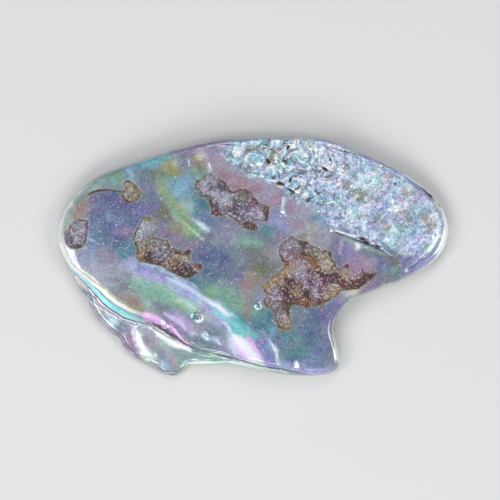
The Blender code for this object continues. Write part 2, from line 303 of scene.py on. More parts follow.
ISLANDS = {
    "left": plan(
        (68, 228), (70, 224), (74, 220.5), (80, 219.3), (85, 219.2), (87.5, 221.5), (87.8, 228),
        (87.3, 237), (86, 242), (83, 246), (79.5, 249.3), (75, 249), (70, 247.5), (66, 244),
        (64, 239.5), (63.8, 234)),
    "top": plan(
        (124.5, 182), (127, 180.5), (130, 180.8), (133, 182.5), (136.5, 186), (139, 189),
        (140.8, 192.5), (141, 196), (139.5, 199), (135.5, 201.5), (130, 203.3), (127, 202),
        (124.5, 199), (121.5, 195.5), (122.5, 192), (125, 189), (124.5, 185.5)),
    "middle": plan(
        (140, 223.5), (143.5, 218.5), (147, 217), (151, 218), (155, 220.5), (158.3, 223.5),
        (158.8, 227.5), (157.5, 231), (154, 234.5), (154, 237.5), (160, 239), (165, 240),
        (168.5, 243), (171.5, 247), (175, 248.8), (180, 251), (184, 253), (187, 251),
        (190, 250.3), (193, 252), (191.5, 255), (190.5, 258), (191.5, 262.5), (193.5, 264.5),
        (198, 264.3), (201.5, 265), (203, 268), (200.5, 270.3), (197.5, 273.5), (193.5, 276.5),
        (190, 279), (186, 278.8), (181, 278), (177, 276), (172, 273.5), (167.5, 271.5),
        (163, 268.5), (158, 266), (152, 264.3), (146, 262.8), (141, 262), (138, 260.5),
        (136, 257.5), (136.5, 254), (138, 251), (136, 248.5), (134.5, 245), (134, 240),
        (133.5, 235), (134.5, 231.5), (137, 228.5)),
    "upper": plan(
        (195, 190), (195.3, 186), (197, 182), (201, 180.3), (206, 177.8), (210, 174.5),
        (214, 177), (217, 180), (220, 181.5), (223, 181), (225, 184.5), (227, 188.5),
        (229.5, 192.5), (233, 193.5), (238, 192), (243, 190), (246.5, 191), (249.5, 193.5),
        (250.5, 197), (254.5, 199.5), (257, 203), (260, 206.5), (264, 209), (269, 206),
        (268.8, 210), (267.5, 216), (267, 222), (263.5, 223.5), (258, 223), (253, 222.8),
        (256, 227), (257.5, 230), (254, 231.5), (248, 231.5), (243.5, 229.5), (240.5, 226),
        (236, 222.5), (231, 219.5), (226, 216.5), (222, 216.5), (217, 218.3), (213, 217.3),
        (212, 213), (210.5, 208), (210, 203), (208.5, 199.5), (204.5, 198.5), (201, 197),
        (200, 193.5), (197, 191.5)),
    "lower": plan(
        (291.5, 236.3), (295.5, 239.5), (299.5, 241.5), (304, 242.5), (308, 244.5),
        (314, 246.5), (319, 249), (322, 252), (326, 251.5), (330.5, 253), (331, 257),
        (334, 262), (336, 267), (339, 269.5), (342, 268), (345, 264.5), (349, 266), (348.5, 271),
        (349, 275.5), (354, 276), (359, 273.5), (362, 268.5), (364.5, 273), (370, 270.5),
        (375, 272.5), (374, 277), (370, 281),
        (366, 284), (361, 287.5), (354, 290.5), (347, 291), (341, 293), (337, 296.5),
        (332, 299.5), (327, 302.5), (323.5, 307), (318, 307.8), (311, 307.5), (305, 308.5),
        (301, 307), (297, 306.5), (292.5, 307.5), (290.5, 311), (290, 317), (291, 322),
        (291, 328), (288, 331.5), (284, 329.5), (278, 328.5), (275.5, 322), (273, 316),
        (271, 311), (267, 308.5), (263.5, 305), (263.5, 300), (265.5, 296), (263.5, 291),
        (261.5, 287.5), (266, 283), (271, 279), (276, 274.5), (281, 270), (283, 266),
        (281.5, 262.5), (279, 258), (278.5, 251), (280, 246.5), (284.5, 242), (288, 238.5)),
}
SCAR_PITS = [  # across, down, half length, half width (pixels), lean (degrees), depth (mm)
    (288, 148, 3.0, 1.4, 70, 0.30), (285, 162, 3.4, 1.4, -20, 0.26), (268, 162, 3.6, 2.0, -50, 0.30),
    (272, 161, 3.0, 1.2, -20, 0.18), (330, 160, 3.2, 1.2, 80, 0.24), (325, 170, 4.0, 1.8, -35, 0.30),
    (320, 172, 3.0, 1.6, 30, 0.20), (280, 185, 4.2, 2.0, -10, 0.34), (290, 181, 4.4, 1.3, 65, 0.26),
    (273, 180, 1.8, 1.4, 0, 0.20), (291, 192, 5.5, 1.2, -28, 0.28), (298, 189, 2.6, 1.2, 60, 0.22),
    (308, 202, 3.2, 1.3, 25, 0.24), (318, 195, 4.0, 1.0, -30, 0.20), (336, 180, 2.0, 1.2, 20, 0.20),
    (395, 184, 2.2, 1.4, -60, 0.22), (345, 151.5, 2.6, 1.4, 0, 0.20), (354, 154, 2.8, 0.9, -15, 0.16),
    (427, 189, 6.0, 1.2, -52, 0.26), (431, 195, 2.6, 1.5, -50, 0.26), (440, 205, 4.6, 1.0, -60, 0.20),
    (250, 172, 4.4, 1.0, 60, 0.14), (248, 169, 3.0, 1.0, -10, 0.12), (230, 146, 8.0, 0.7, 0, 0.10),
    (362, 240, 3.6, 1.7, -20, 0.30), (366, 243.5, 3.6, 1.6, -35, 0.30), (377, 247.5, 3.6, 1.4, -20, 0.26),
    (431, 229, 1.8, 1.0, 0, 0.14), (308, 151, 3.0, 0.9, 70, 0.14), (342, 168, 4.2, 1.0, 30, 0.14),
    (300, 166, 4.6, 0.9, -50, 0.16), (310, 178, 4.2, 0.9, -40, 0.16), (262, 150, 4.4, 0.9, 20, 0.12),
]
print(len(ISLANDS), "worn islands and", len(SCAR_PITS), "pits in the scar")

# %% [markdown]
# ## The height of each face
#
# The wall's two faces are heights over the ground. The lip's slope is cut into fine steps,
# one for each layer that ends there, and each step has a hairline groove at its foot. The
# pearls, the pits and the worn islands come on top, then the scar's facets, and last a
# little unevenness from polishing by hand. At the rim both faces round over, as a quarter
# of an ellipse, until they meet on the outline.

# %% Heights
WALL = 2.9  # thickness
ARCH_LIFT = 3.0  # height of the underside at the crown
ARCH_CROWN = (0.5, 5.0)
ARCH_FALL = (0.0031, 0.0049)  # along x and y, for each square mm
FOLD_UNDER = 0.55  # the part of a fold that the underside follows
LIP_DROP = 1.25
RISERS = (0.42, 0.80, 0.97)  # shares of the lip's slope where it is steep
RISER_PART = 0.14  # the part of the drop in each riser
RISER_GROOVE = 0.07
LEFT_TIP, LEFT_TIP_REACH = (-31.0, 2.5), 9.0
SCAR_LIFT, FACET_GROOVE = 0.08, 0.10
RIM_WIDTH, RIM_WIDTH_LEFT, UNDER_RIM_WIDTH, FRILL_RIM_WIDTH = 1.15, 2.3, 0.8, 0.55
ISLAND_DEPTH = 0.13


def arch(places):
    """Height of the plain arched wall's underside: a dome that falls with the square of the
    distance from its crown, and dips below the ground at the feet."""
    away = places - ARCH_CROWN
    return ARCH_LIFT - ARCH_FALL[0] * away[:, 0] ** 2 - ARCH_FALL[1] * away[:, 1] ** 2


def lip_share(places):
    """0 on the upper layer, 1 on the frill, and between them the share of the lip's slope."""
    below = np.clip(-signed(places, SHOULDER, 260), 0, None)
    above = np.clip(signed(places, FOOT, 260), 0, None)
    return below / np.maximum(below + above, 1e-9)


def lip_fall(share):
    """Share of the lip's drop: a long S curve, with a part of it in three steep risers."""
    fall = (1 - RISER_PART * len(RISERS)) * smooth_step(share, -0.2, 1.1) / smooth_step(1, -0.2, 1.1)
    for place in RISERS:
        fall = fall + RISER_PART * smooth_step(share, place - 0.025, place + 0.025)
    return np.clip(fall, 0, 1) * smooth_step(share, 0, 0.16)


def folds(places):
    """Height of the folds: along each curve a hump, wider on one side than on the
    other, that grows from the curve's start to its end."""
    height = np.zeros(len(places))
    for points, rise, right, left, first, last in FOLDS.values():
        distance, side, along = nearest(places, smooth_curve(points, 120))
        width = np.where(side > 0, left, right)
        height += rise * (first + (last - first) * along ** 1.6) * bell(distance, width)
    return height


def eyes(places):
    """Height of the blister pearls: a ring round a small dip, for each one its middle,
    radius and rise (mm)."""
    height = np.zeros(len(places))
    for middle, radius, rise in EYES:
        apart = np.hypot(*((places - middle) / (1.25, 1.0)).T)
        height += rise * (bell(apart - 0.8 * radius, 0.45 * radius) + 0.3 * bell(apart, 0.4 * radius))
    return height


def island_inset(places):
    """Distance inwards from the border of the nearest worn island, negative outside."""
    inset = np.full(len(places), -9.0)
    for outline in ISLANDS.values():
        inset = np.maximum(inset, -signed(places, outline, 10 * len(outline), closed=True))
    return inset


def pit_depth(places):
    """Depth of the scar's dark pits: each a stretched bell, turned by its own lean."""
    depth = np.zeros(len(places))
    for across, down, length, width, lean, deep in SCAR_PITS:
        u, v = seen_from(places, (across, down), lean)
        depth = np.maximum(depth, deep * bell(np.hypot(u / length, v / width), 1.0))
    return depth


def wall_faces(places, share):
    """Heights of the wall's underside and top before the fine relief. The folds lift the top
    by more than the underside, and the underside stays above the ground."""
    bend = folds(places)
    under = arch(places) + FOLD_UNDER * bend
    over = under + WALL - LIP_DROP * lip_fall(share) + (1 - FOLD_UNDER) * bend
    return np.maximum(under, 0), over


def rounding(inset, width):
    """A quarter of an ellipse: 0 on the outline, 1 from width inwards."""
    return np.sqrt(1 - (1 - np.clip(inset / width, 0, 1)) ** 2)


print("a wall", WALL, "mm thick, arched by", ARCH_LIFT, "mm")

# %% [markdown]
# ## Laying out the mesh
#
# A grid of squares can't follow this outline without a ragged rim. So the grid is bent to
# it: lines run out from a short spine in the middle to 640 evenly spaced places on the
# outline, and rings run round between them. The rings crowd towards the rim, where the
# face turns down. The spine takes the place of a single middle point, where all the lines
# would meet and pinch the mesh. The top and the underside share the ring on the outline,
# and each closes along its own spine, so the whole is one closed skin.

# %% The bent grid
SECTORS = 640
TOP_RINGS = 112
UNDER_RINGS = 26
RIM_CROWDING = 1.35
SPINE_MIDDLE = (-1.0, 1.5)
SPINE_HALF = 13.0

rim_curve = smooth_curve(OUTLINE, 4000, closed=True)[:-1]
right_end, left_end = rim_curve[:, 0].argmax(), rim_curve[:, 0].argmin()
rim_curve = np.roll(rim_curve, -right_end, axis=0)
left_end = (left_end - right_end) % len(rim_curve)
half = np.arange(SECTORS // 2) / (SECTORS // 2)
stops = np.r_[half * left_end, left_end + half * (len(rim_curve) - left_end)]
rim = np.column_stack([
    np.interp(stops, np.arange(len(rim_curve) + 1), np.r_[rim_curve[:, k], rim_curve[0, k]])
    for k in (0, 1)])
sector = np.arange(SECTORS)
spine = np.column_stack([
    SPINE_MIDDLE[0] + SPINE_HALF * (np.abs(4 * sector / SECTORS - 2) - 1),
    np.full(SECTORS, SPINE_MIDDLE[1])])


def fan(rings):
    """Places on the bent grid, ring by ring from the spine (0) to the outline (rings)."""
    reach = 1 - (1 - np.arange(rings + 1) / rings) ** RIM_CROWDING
    return spine + (rim - spine) * reach[:, None, None]


top_places = fan(TOP_RINGS)
under_places = fan(UNDER_RINGS)
across = top_places[1:, :] - top_places[:-1, :]
around = np.roll(top_places, -1, axis=1)[1:, :] - top_places[1:, :]
areas = across[..., 0] * around[..., 1] - across[..., 1] * around[..., 0]
print("smallest grid cell, mm2:", round(float(areas.min()), 5), "(below 0 would be folded over)")

# %% Measure the top face's places against every line
place = top_places.reshape(-1, 2)
outline_curve = smooth_curve(OUTLINE, 720, closed=True)
edge = nearest(place, outline_curve)[0]
edge[-SECTORS:] = 0
share = lip_share(wandered(place, 1.6, 0.10, 11))
isle = island_inset(wandered(place, 0.7, 0.16, 21))
scar_edge = signed(wandered(place, 2.2, 0.5, 31), SCAR, 240, closed=True)
band = 0.45 + 0.35 * smooth_step(place[:, 0], 19.0, 30.0) + 0.2 * soft_noise(place, 1.1, 33)
scar = smooth_step(scar_edge + 0.45 * soft_noise(place, 0.7, 35), -0.5, 0.7)
scar *= smooth_step(edge - band, 0.0, 0.5)
pits = pit_depth(place)
print("top face:", len(place), "places;", round(float((isle > 0).mean() * 100)), "% worn,",
      round(float((scar > 0.5).mean() * 100)), "% scar")

# %% Height of the top face
away_left = np.hypot(*(place - LEFT_TIP).T)
rim_width = RIM_WIDTH + (RIM_WIDTH_LEFT - RIM_WIDTH) * bell(away_left, LEFT_TIP_REACH)
rim_width = rim_width + (FRILL_RIM_WIDTH - rim_width) * smooth_step(lip_fall(share), 0.3, 1.0)

low, top = wall_faces(place, share)
middle = (low + top) / 2

relief = np.zeros(len(place))
for points, depth, half_width in GROOVES.values():
    relief -= depth * bell(nearest(place, smooth_curve(points, 120))[0], half_width)
for spot, radius, rise in BUMPS:
    relief += rise * bell(np.hypot(*(place - spot).T), radius)
relief += eyes(place)
for step in RISERS:
    relief -= RISER_GROOVE * bell(share - step - 0.035, 0.025) * (share < 1)

calm = smooth_step(-place[:, 0], -24.0, -8.0)
turned = wandered(place, 2.4, 1.1, 40) @ np.array([(0.62, 0.60), (0.45, -0.84)])
big, big_number, big_border = chips(wandered(turned, 1.1, 0.22, 41), 1.15, 42)
small, small_number, _ = chips(wandered(turned[:, ::-1], 0.7, 0.14, 43), 0.62, 44)
relief += scar * (SCAR_LIFT + (0.07 + 0.13 * calm) * big + (0.045 + 0.05 * calm) * small)
relief -= scar * FACET_GROOVE * calm * bell(big_border, 0.12)
relief -= pits
worn = smooth_step(isle, -0.10, 0.22)
relief -= ISLAND_DEPTH * worn
relief += worn * (0.05 * soft_noise(place, 0.55, 51) + 0.04 * soft_noise(place, 0.3, 52))
relief += 0.030 * soft_noise(place, 7.0, 61) + 0.012 * soft_noise(place, 2.6, 62) * (1 - worn)
frill = smooth_step(share, 0.9, 1.0)
relief += frill * (0.05 * np.sin((edge - 0.3) * 9) * bell(edge - 0.4, 0.5)
                   + 0.02 * soft_noise(place, 1.4, 63) + 0.014 * soft_noise(place, 0.45, 64))

height = middle + (top + relief - middle) * rounding(edge, rim_width)
print("top face from", round(float(height.min()), 2), "to", round(float(height.max()), 2), "mm high")

# %% Height of the underside
under_place = under_places.reshape(-1, 2)
under_edge = nearest(under_place, outline_curve)[0]
under_edge[-SECTORS:] = 0
under_low, under_top = wall_faces(under_place, lip_share(under_place))
under_middle = (under_low + under_top) / 2
under_height = under_middle - (under_middle - under_low) * rounding(under_edge, UNDER_RIM_WIDTH)
under_height[-SECTORS:] = height[-SECTORS:]
print("underside up to", round(float(under_height.max()), 2), "mm high")

# %% [markdown]
# ## The colours of the nacre, and painted highlights
#
# A stack of layers gives a few families of colour, and they lie on the piece as soft clouds
# and as bands along the folds. So the colours are mixed the way one would glaze a pot: a
# palette of named tints, and a list of clouds and bands, each with a place, a size and the
# name of its tint. At any place the tints are averaged, and the nearest clouds weigh most.
# The places are pushed about a little first, so that no cloud has a plain oval border. The
# white clouds and bands, and most ice, foam and cream bands, are painted highlights on the
# rims, the fold's crest, the lip, the frill, the tongue and small blisters.

# %% A palette of nacre tints
def tint(red, green, blue):
    """A screen colour (0 to 255) as the linear light that shaders work in."""
    value = np.array([red, green, blue]) / 255
    return np.where(value <= 0.04045, value / 12.92, ((value + 0.055) / 1.055) ** 2.4)


TINTS = {name: tint(*screen) for name, screen in {
    "white": (253, 255, 255), "cream": (232, 232, 208), "mint": (172, 206, 188),
    "seafoam": (132, 184, 160), "leaf": (128, 178, 112), "moss": (112, 160, 112),
    "lime": (160, 180, 118), "gold": (168, 158, 88), "olive": (120, 122, 84),
    "tan": (160, 146, 120), "peach": (170, 142, 128), "salmon": (176, 132, 138),
    "rose": (184, 142, 170), "pink": (240, 186, 244), "mauve": (148, 130, 160),
    "violet": (130, 119, 168), "indigo": (92, 99, 146), "iris": (112, 118, 170),
    "lavender": (160, 162, 214), "slate": (92, 114, 150), "steel": (112, 136, 172),
    "sky": (136, 186, 220), "aqua": (112, 194, 206), "teal": (82, 140, 152),
    "grey": (124, 130, 148), "taupe": (122, 124, 120), "lilac": (150, 152, 176),
    "pewter": (122, 138, 152), "fog": (168, 168, 182), "blossom": (174, 154, 174),
    "orchid": (150, 132, 176), "foam": (206, 240, 226), "ice": (200, 226, 246),
    "turquoise": (126, 216, 222), "wisteria": (214, 198, 242), "hyacinth": (150, 146, 214),
}.items()}
print(len(TINTS), "tints")

# %% Clouds: across, down, length, breadth (pixels), lean (degrees), tint, strength
# The white clouds are painted highlights.
CLOUDS = [
    # the left end and the indigo field
    (79, 209, 11, 6, 75, "peach", 2.2), (84, 197, 7, 5, 60, "tan", 1.6),
    (92, 184, 10, 5, 25, "pewter", 1.2), (105, 184, 9, 4, 10, "lilac", 1.2),
    (113, 179, 9, 5, 10, "seafoam", 1.6), (121, 176, 6, 4, 0, "lime", 1.2),
    (129, 173, 6, 5, -40, "sky", 2.0), (124, 166, 13, 3, 22, "slate", 1.6),
    (140, 172, 10, 5, 20, "grey", 1.2), (148, 183, 7, 6, 0, "pewter", 1.4),
    (148, 190, 3, 2, 0, "lilac", 1.2), (149, 198, 10, 6, 0, "pewter", 1.5),
    (92, 198, 8, 6, 40, "mauve", 1.2), (103, 198, 9, 5, 0, "indigo", 1.3),
    (101, 208, 8, 7, 0, "violet", 0.7), (110, 208, 9, 6, 0, "slate", 1.2),
    (127, 211, 8, 4, -25, "indigo", 3.2), (118, 223, 12, 9, -10, "iris", 2.0),
    (140, 211, 9, 5, 10, "iris", 2.0), (150, 207, 8, 5, 0, "violet", 1.3),
    (126, 232, 7, 6, 0, "mauve", 1.0), (117, 240, 10, 8, 0, "slate", 1.4),
    (100, 226, 7, 12, 0, "slate", 1.6), (108, 219, 6, 7, 0, "steel", 1.6),
    (91, 230, 4, 14, 0, "steel", 1.4), (93, 250, 6, 9, 0, "steel", 1.1), (127, 252, 8, 6, 0, "teal", 5.0),
    (108, 256, 9, 6, -20, "mauve", 1.0), (82, 259, 11, 6, -40, "lilac", 1.4),
    (82, 258, 8, 5, -40, "steel", 0.8), (98, 268, 10, 6, -40, "lilac", 1.6),
    (70, 252, 4, 5, -40, "white", 1.5),
    # the top left, the gold spots and the teal pocket
    (150, 163, 16, 5, 18, "aqua", 1.8), (158, 156, 10, 3, 20, "mint", 1.0),
    (172, 170, 6, 6, 0, "gold", 3.0), (172, 172, 2, 2, 0, "olive", 1.0), (170, 165, 5, 4, 0, "lime", 1.2),
    (172, 180, 8, 4, 0, "seafoam", 1.3), (160, 178, 9, 4, 0, "olive", 1.3),
    (163, 186, 4, 5, 0, "gold", 0.8), (183, 163, 6, 7, 0, "grey", 1.2),
    (190, 150, 12, 4, 12, "mauve", 1.6), (208, 147, 14, 4, 6, "mauve", 1.4),
    (206, 141, 16, 2.5, 5, "grey", 1.4), (198, 163, 7, 8, 0, "tan", 1.6),
    (199, 165, 4, 6, 0, "olive", 1.2), (199, 158, 4, 3, 0, "peach", 1.0),
    (198, 174, 8, 4, 0, "seafoam", 1.0), (189, 161, 2.5, 5, 0, "lilac", 1.6),
    (208, 149, 6, 4, 0, "mauve", 1.4), (210, 166, 1.0, 4, 8, "white", 1.0),
    (182, 188, 9, 8, -40, "sky", 1.6), (195, 192, 6, 6, 0, "steel", 1.2),
    (201, 208, 8, 8, 0, "teal", 2.0), (188, 210, 6, 8, -45, "mint", 1.4),
    (206, 219, 8, 5, 0, "steel", 1.3), (165, 212, 5, 8, 0, "olive", 1.4),
    (163, 224, 5, 5, 0, "grey", 1.3), (166, 232, 3, 3, 0, "mauve", 1.6), (177, 228, 5, 6, 0, "tan", 0.5),
    (176, 231, 4, 4, 0, "tan", 0.8), (177, 238, 5, 5, 0, "mauve", 1.3),
    (191, 230, 7, 5, -45, "lime", 2.2), (192, 234, 5, 4, -45, "leaf", 1.2),
    # the middle
    (203, 240, 9, 6, 0, "grey", 1.4), (193, 244, 6, 4, 0, "mauve", 1.0),
    (211, 254, 9, 7, 0, "slate", 0.8), (207, 256, 8, 6, 0, "slate", 1.2),
    (200, 261, 6, 5, 0, "slate", 1.3), (222, 262, 8, 7, 0, "slate", 1.4),
    (224, 240, 10, 7, 0, "lilac", 1.1), (236, 236, 8, 6, 0, "lilac", 1.2),
    (246, 243, 7, 6, 0, "seafoam", 0.9), (258, 235, 9, 6, -20, "pewter", 2.0),
    (252, 250, 6, 5, 0, "taupe", 0.8), (257, 244, 6, 4, 0, "seafoam", 1.0),
    (237, 262, 7, 6, 0, "pewter", 1.2), (266, 258, 7, 7, 0, "taupe", 1.2),
    (270, 255, 5, 5, 0, "fog", 1.8), (269, 254, 4, 5, 0, "peach", 0.7), (262, 268, 6, 5, 0, "olive", 1.0),
    (238, 275, 6, 7, 0, "violet", 1.1), (226, 277, 9, 6, 0, "pewter", 1.4),
    (212, 275, 9, 6, -30, "slate", 1.3), (226, 285, 7, 4, 0, "lilac", 1.2),
    (214, 290, 9, 5, -25, "seafoam", 2.0), (210, 296, 8, 3, -25, "moss", 0.6),
    (196, 284, 8, 3, -28, "teal", 3.0), (228, 298, 7, 6, -30, "seafoam", 0.9),
    (231, 300, 4, 4, 0, "leaf", 0.4), (250, 278, 7, 5, -30, "tan", 0.9),
    (246, 286, 6, 4, -40, "peach", 0.9), (246, 298, 3, 5, 0, "tan", 1.0), (246, 299, 4, 6, 0, "fog", 0.5),
    (247, 311, 3, 8, -10, "tan", 0.5), (238, 305, 4, 7, -50, "seafoam", 1.2),
    (264, 300, 6, 6, 0, "lilac", 1.0), (235, 318, 5, 9, 45, "teal", 1.4),
    # the rose side and the far side of the worn middle
    (217, 164, 7, 4, -40, "blossom", 1.6), (222, 173, 6, 3, -40, "salmon", 0.9),
    (231, 176, 7, 4, -30, "salmon", 0.7), (232, 167, 6, 4, -30, "fog", 1.6),
    (245, 175, 6, 4, -30, "fog", 1.2), (237, 180, 9, 5, -30, "blossom", 1.1),
    (236, 181, 7, 3, -30, "salmon", 0.8), (243, 186, 9, 4, -20, "salmon", 1.0),
    (256, 188, 9, 5, -25, "rose", 1.4), (258, 186, 8, 5, -25, "fog", 0.8),
    (268, 196, 5, 4, -25, "fog", 1.6), (252, 176, 8, 4, 0, "lilac", 1.6),
    (262, 199, 7, 5, -30, "blossom", 1.6), (240, 170, 9, 4, -30, "lilac", 1.2),
    (272, 222, 7, 6, 0, "lavender", 1.4), (268, 232, 8, 5, 0, "teal", 1.2),
    (268, 216, 5, 4, 0, "blossom", 1.2), (280, 240, 5, 5, 0, "mauve", 1.2),
    (284, 226, 6, 6, 0, "lavender", 1.2), (292, 221, 5, 9, 0, "blossom", 2.0),
    (289, 208, 5, 4, 0, "rose", 1.6), (276, 200, 5, 4, 0, "rose", 1.2), (303, 226, 7, 8, 0, "fog", 1.5),
    (311, 230, 5, 6, 0, "tan", 1.0), (311, 232, 7, 6, 0, "cream", 0.7), (308, 233, 6, 5, 0, "fog", 1.0),
    (306, 229, 2, 7, 10, "cream", 0.6), (323, 239, 8, 7, 0, "fog", 1.7), (303, 238, 6, 5, 0, "tan", 0.8),
    (296, 228, 3, 6, 10, "fog", 0.8), (300, 214, 9, 6, 20, "fog", 3.6),
    (299, 214, 7, 5, 20, "wisteria", 1.2), (314, 234, 9, 5, 0, "fog", 1.6),
    (316, 214, 11, 8, 0, "sky", 1.0), (316, 213, 10, 7, 0, "fog", 1.2), (315, 216, 4, 4, 0, "iris", 1.6),
    (326, 218, 7, 8, 0, "sky", 1.2),
    # right of the worn middle, up to the bay
    (337, 243, 5, 6, 0, "mauve", 1.4), (334, 255, 4, 8, 0, "grey", 1.4),
    (345, 250, 6, 6, -20, "orchid", 2.4), (352, 260, 6, 6, -30, "orchid", 1.6),
    (357, 268, 6, 4, -30, "rose", 2.4), (368, 266, 5, 3, 20, "blossom", 1.4),
    (358, 246, 2, 2.6, -40, "white", 2.2), (350, 241, 8, 2.4, -20, "mint", 0.7),
    (366, 262, 5, 4, -30, "rose", 1.0), (372, 255, 9, 4, -25, "pewter", 1.4),
    (376, 252, 10, 2.5, -25, "mint", 0.7), (383, 267, 5, 8, 30, "iris", 1.5),
    (374, 262, 7, 4, -30, "lilac", 1.2), (391, 262, 6, 6, 0, "taupe", 1.6),
    (392, 272, 6, 5, 30, "seafoam", 0.9), (346, 251, 6, 6, 0, "hyacinth", 0.8),
    (408, 262, 8, 6, 0, "violet", 1.5), (402, 254, 8, 4, -30, "steel", 1.4),
    (418, 262, 7, 5, 30, "lavender", 1.6), (372, 286, 12, 4, 24, "mauve", 1.6),
    (384, 279, 8, 3, 25, "taupe", 1.0), (350, 294, 8, 3, 25, "cream", 1.0),
    (341, 299, 6, 4, 40, "lilac", 1.5),
    # the tongue
    (335, 306, 6, 6, 45, "iris", 2.0), (329, 316, 5, 6, 60, "violet", 1.6),
    (300, 316, 9, 7, 0, "pewter", 1.6), (316, 321, 8, 7, 0, "slate", 1.8),
    (326, 327, 5, 6, 0, "pewter", 1.2), (310, 336, 9, 8, 0, "slate", 2.0),
    (288, 338, 7, 8, 0, "teal", 1.2), (290, 346, 8, 6, 0, "pewter", 1.2),
    (277, 343, 5, 5, 0, "iris", 0.8), (267, 335, 6, 5, -45, "teal", 1.4),
    (298, 350, 9, 7, 0, "teal", 1.5), (322, 332, 5, 7, 0, "grey", 1.2), (322, 350, 8, 7, 0, "steel", 1.3),
    (310, 362, 12, 4, 0, "steel", 1.6), (328, 364, 5, 6, 0, "lilac", 1.4),
    (332, 352, 3, 8, -15, "taupe", 1.2), (265, 316, 7, 7, 0, "teal", 2.2),
    (255, 311, 4, 4, 0, "seafoam", 1.0), (263, 328, 8, 6, -45, "teal", 2.2),
    (272, 333, 6, 5, -30, "aqua", 1.4),
    # the valley between the great fold and the lip
    (112, 278, 12, 7, -30, "grey", 1.5), (120, 286, 12, 5, -30, "taupe", 1.5),
    (128, 296, 14, 4, -28, "tan", 1.0), (138, 308, 6, 2.4, -28, "tan", 1.4),
    (126, 294, 9, 3.4, -28, "fog", 1.2), (128, 273, 10, 5, -20, "lilac", 1.2),
    (136, 302, 7, 3, -24, "peach", 0.8), (147, 302, 9, 4, -20, "mint", 0.8),
    (140, 285, 12, 4, -20, "seafoam", 1.4), (110, 275, 10, 7, -35, "fog", 2.6),
    (101, 262, 8, 6, -35, "grey", 1.0), (114, 284, 9, 4, -30, "ice", 0.7),
    (166, 304, 10, 4, -15, "grey", 1.2), (173, 314, 10, 4, -35, "mauve", 1.3),
    (198, 328, 8, 6, -20, "fog", 1.4), (196, 337, 7, 4, -30, "pewter", 2.4),
    (207, 345, 10, 5, -10, "pewter", 1.5), (202, 344, 7, 3, -20, "seafoam", 0.8),
    (222, 347, 9, 5, -20, "lilac", 1.3), (216, 330, 6, 9, 30, "pewter", 1.3),
    (208, 316, 8, 4, -20, "fog", 1.4), (196.5, 318, 2.2, 1.6, -20, "teal", 9.0),
    (214, 322, 7, 3, -40, "lavender", 0.9), (190, 309, 7, 4, -25, "seafoam", 1.3),
    (222, 325, 5, 6, 40, "lilac", 1.4),
    # the frill
    (88, 298, 8, 5, -50, "pewter", 1.2), (102, 312, 9, 6, -45, "fog", 1.4),
    (100, 310, 6, 4, -45, "taupe", 1.6), (114, 321, 7, 5, -40, "ice", 0.6),
    (123, 330, 8, 5, -35, "grey", 1.4), (138, 327, 8, 4, -25, "fog", 1.6),
    (139, 328, 7, 3, -25, "ice", 1.0), (150, 334, 5, 5, -30, "fog", 1.6),
    (164, 345, 8, 4, -28, "mint", 2.0), (164, 350, 4, 3, 0, "salmon", 0.7),
    (131, 340, 5, 7, 0, "mauve", 1.4), (127, 348, 6, 4, -40, "mauve", 1.2),
    (152, 343, 5, 7, 0, "blossom", 1.2), (147, 355, 3, 5, 0, "mint", 1.6),
    (161, 349, 5, 6, 0, "lilac", 1.2), (173, 360, 5, 6, 0, "blossom", 0.8),
    (158, 361, 5, 4, 0, "fog", 1.4), (165, 364, 4, 3, -40, "ice", 0.8),
    (183, 356, 7, 5, 0, "seafoam", 1.4), (178, 352, 9, 4, -25, "fog", 1.6),
    (205, 357, 12, 4, 0, "seafoam", 1.3), (230, 358, 10, 3, -10, "lilac", 1.2),
    # the ground tints of the scar and of the rim beside it
    (300, 160, 50, 16, -5, "sky", 0.7), (380, 195, 50, 30, -25, "lavender", 0.6),
    (420, 230, 30, 30, 0, "pewter", 0.5),
]
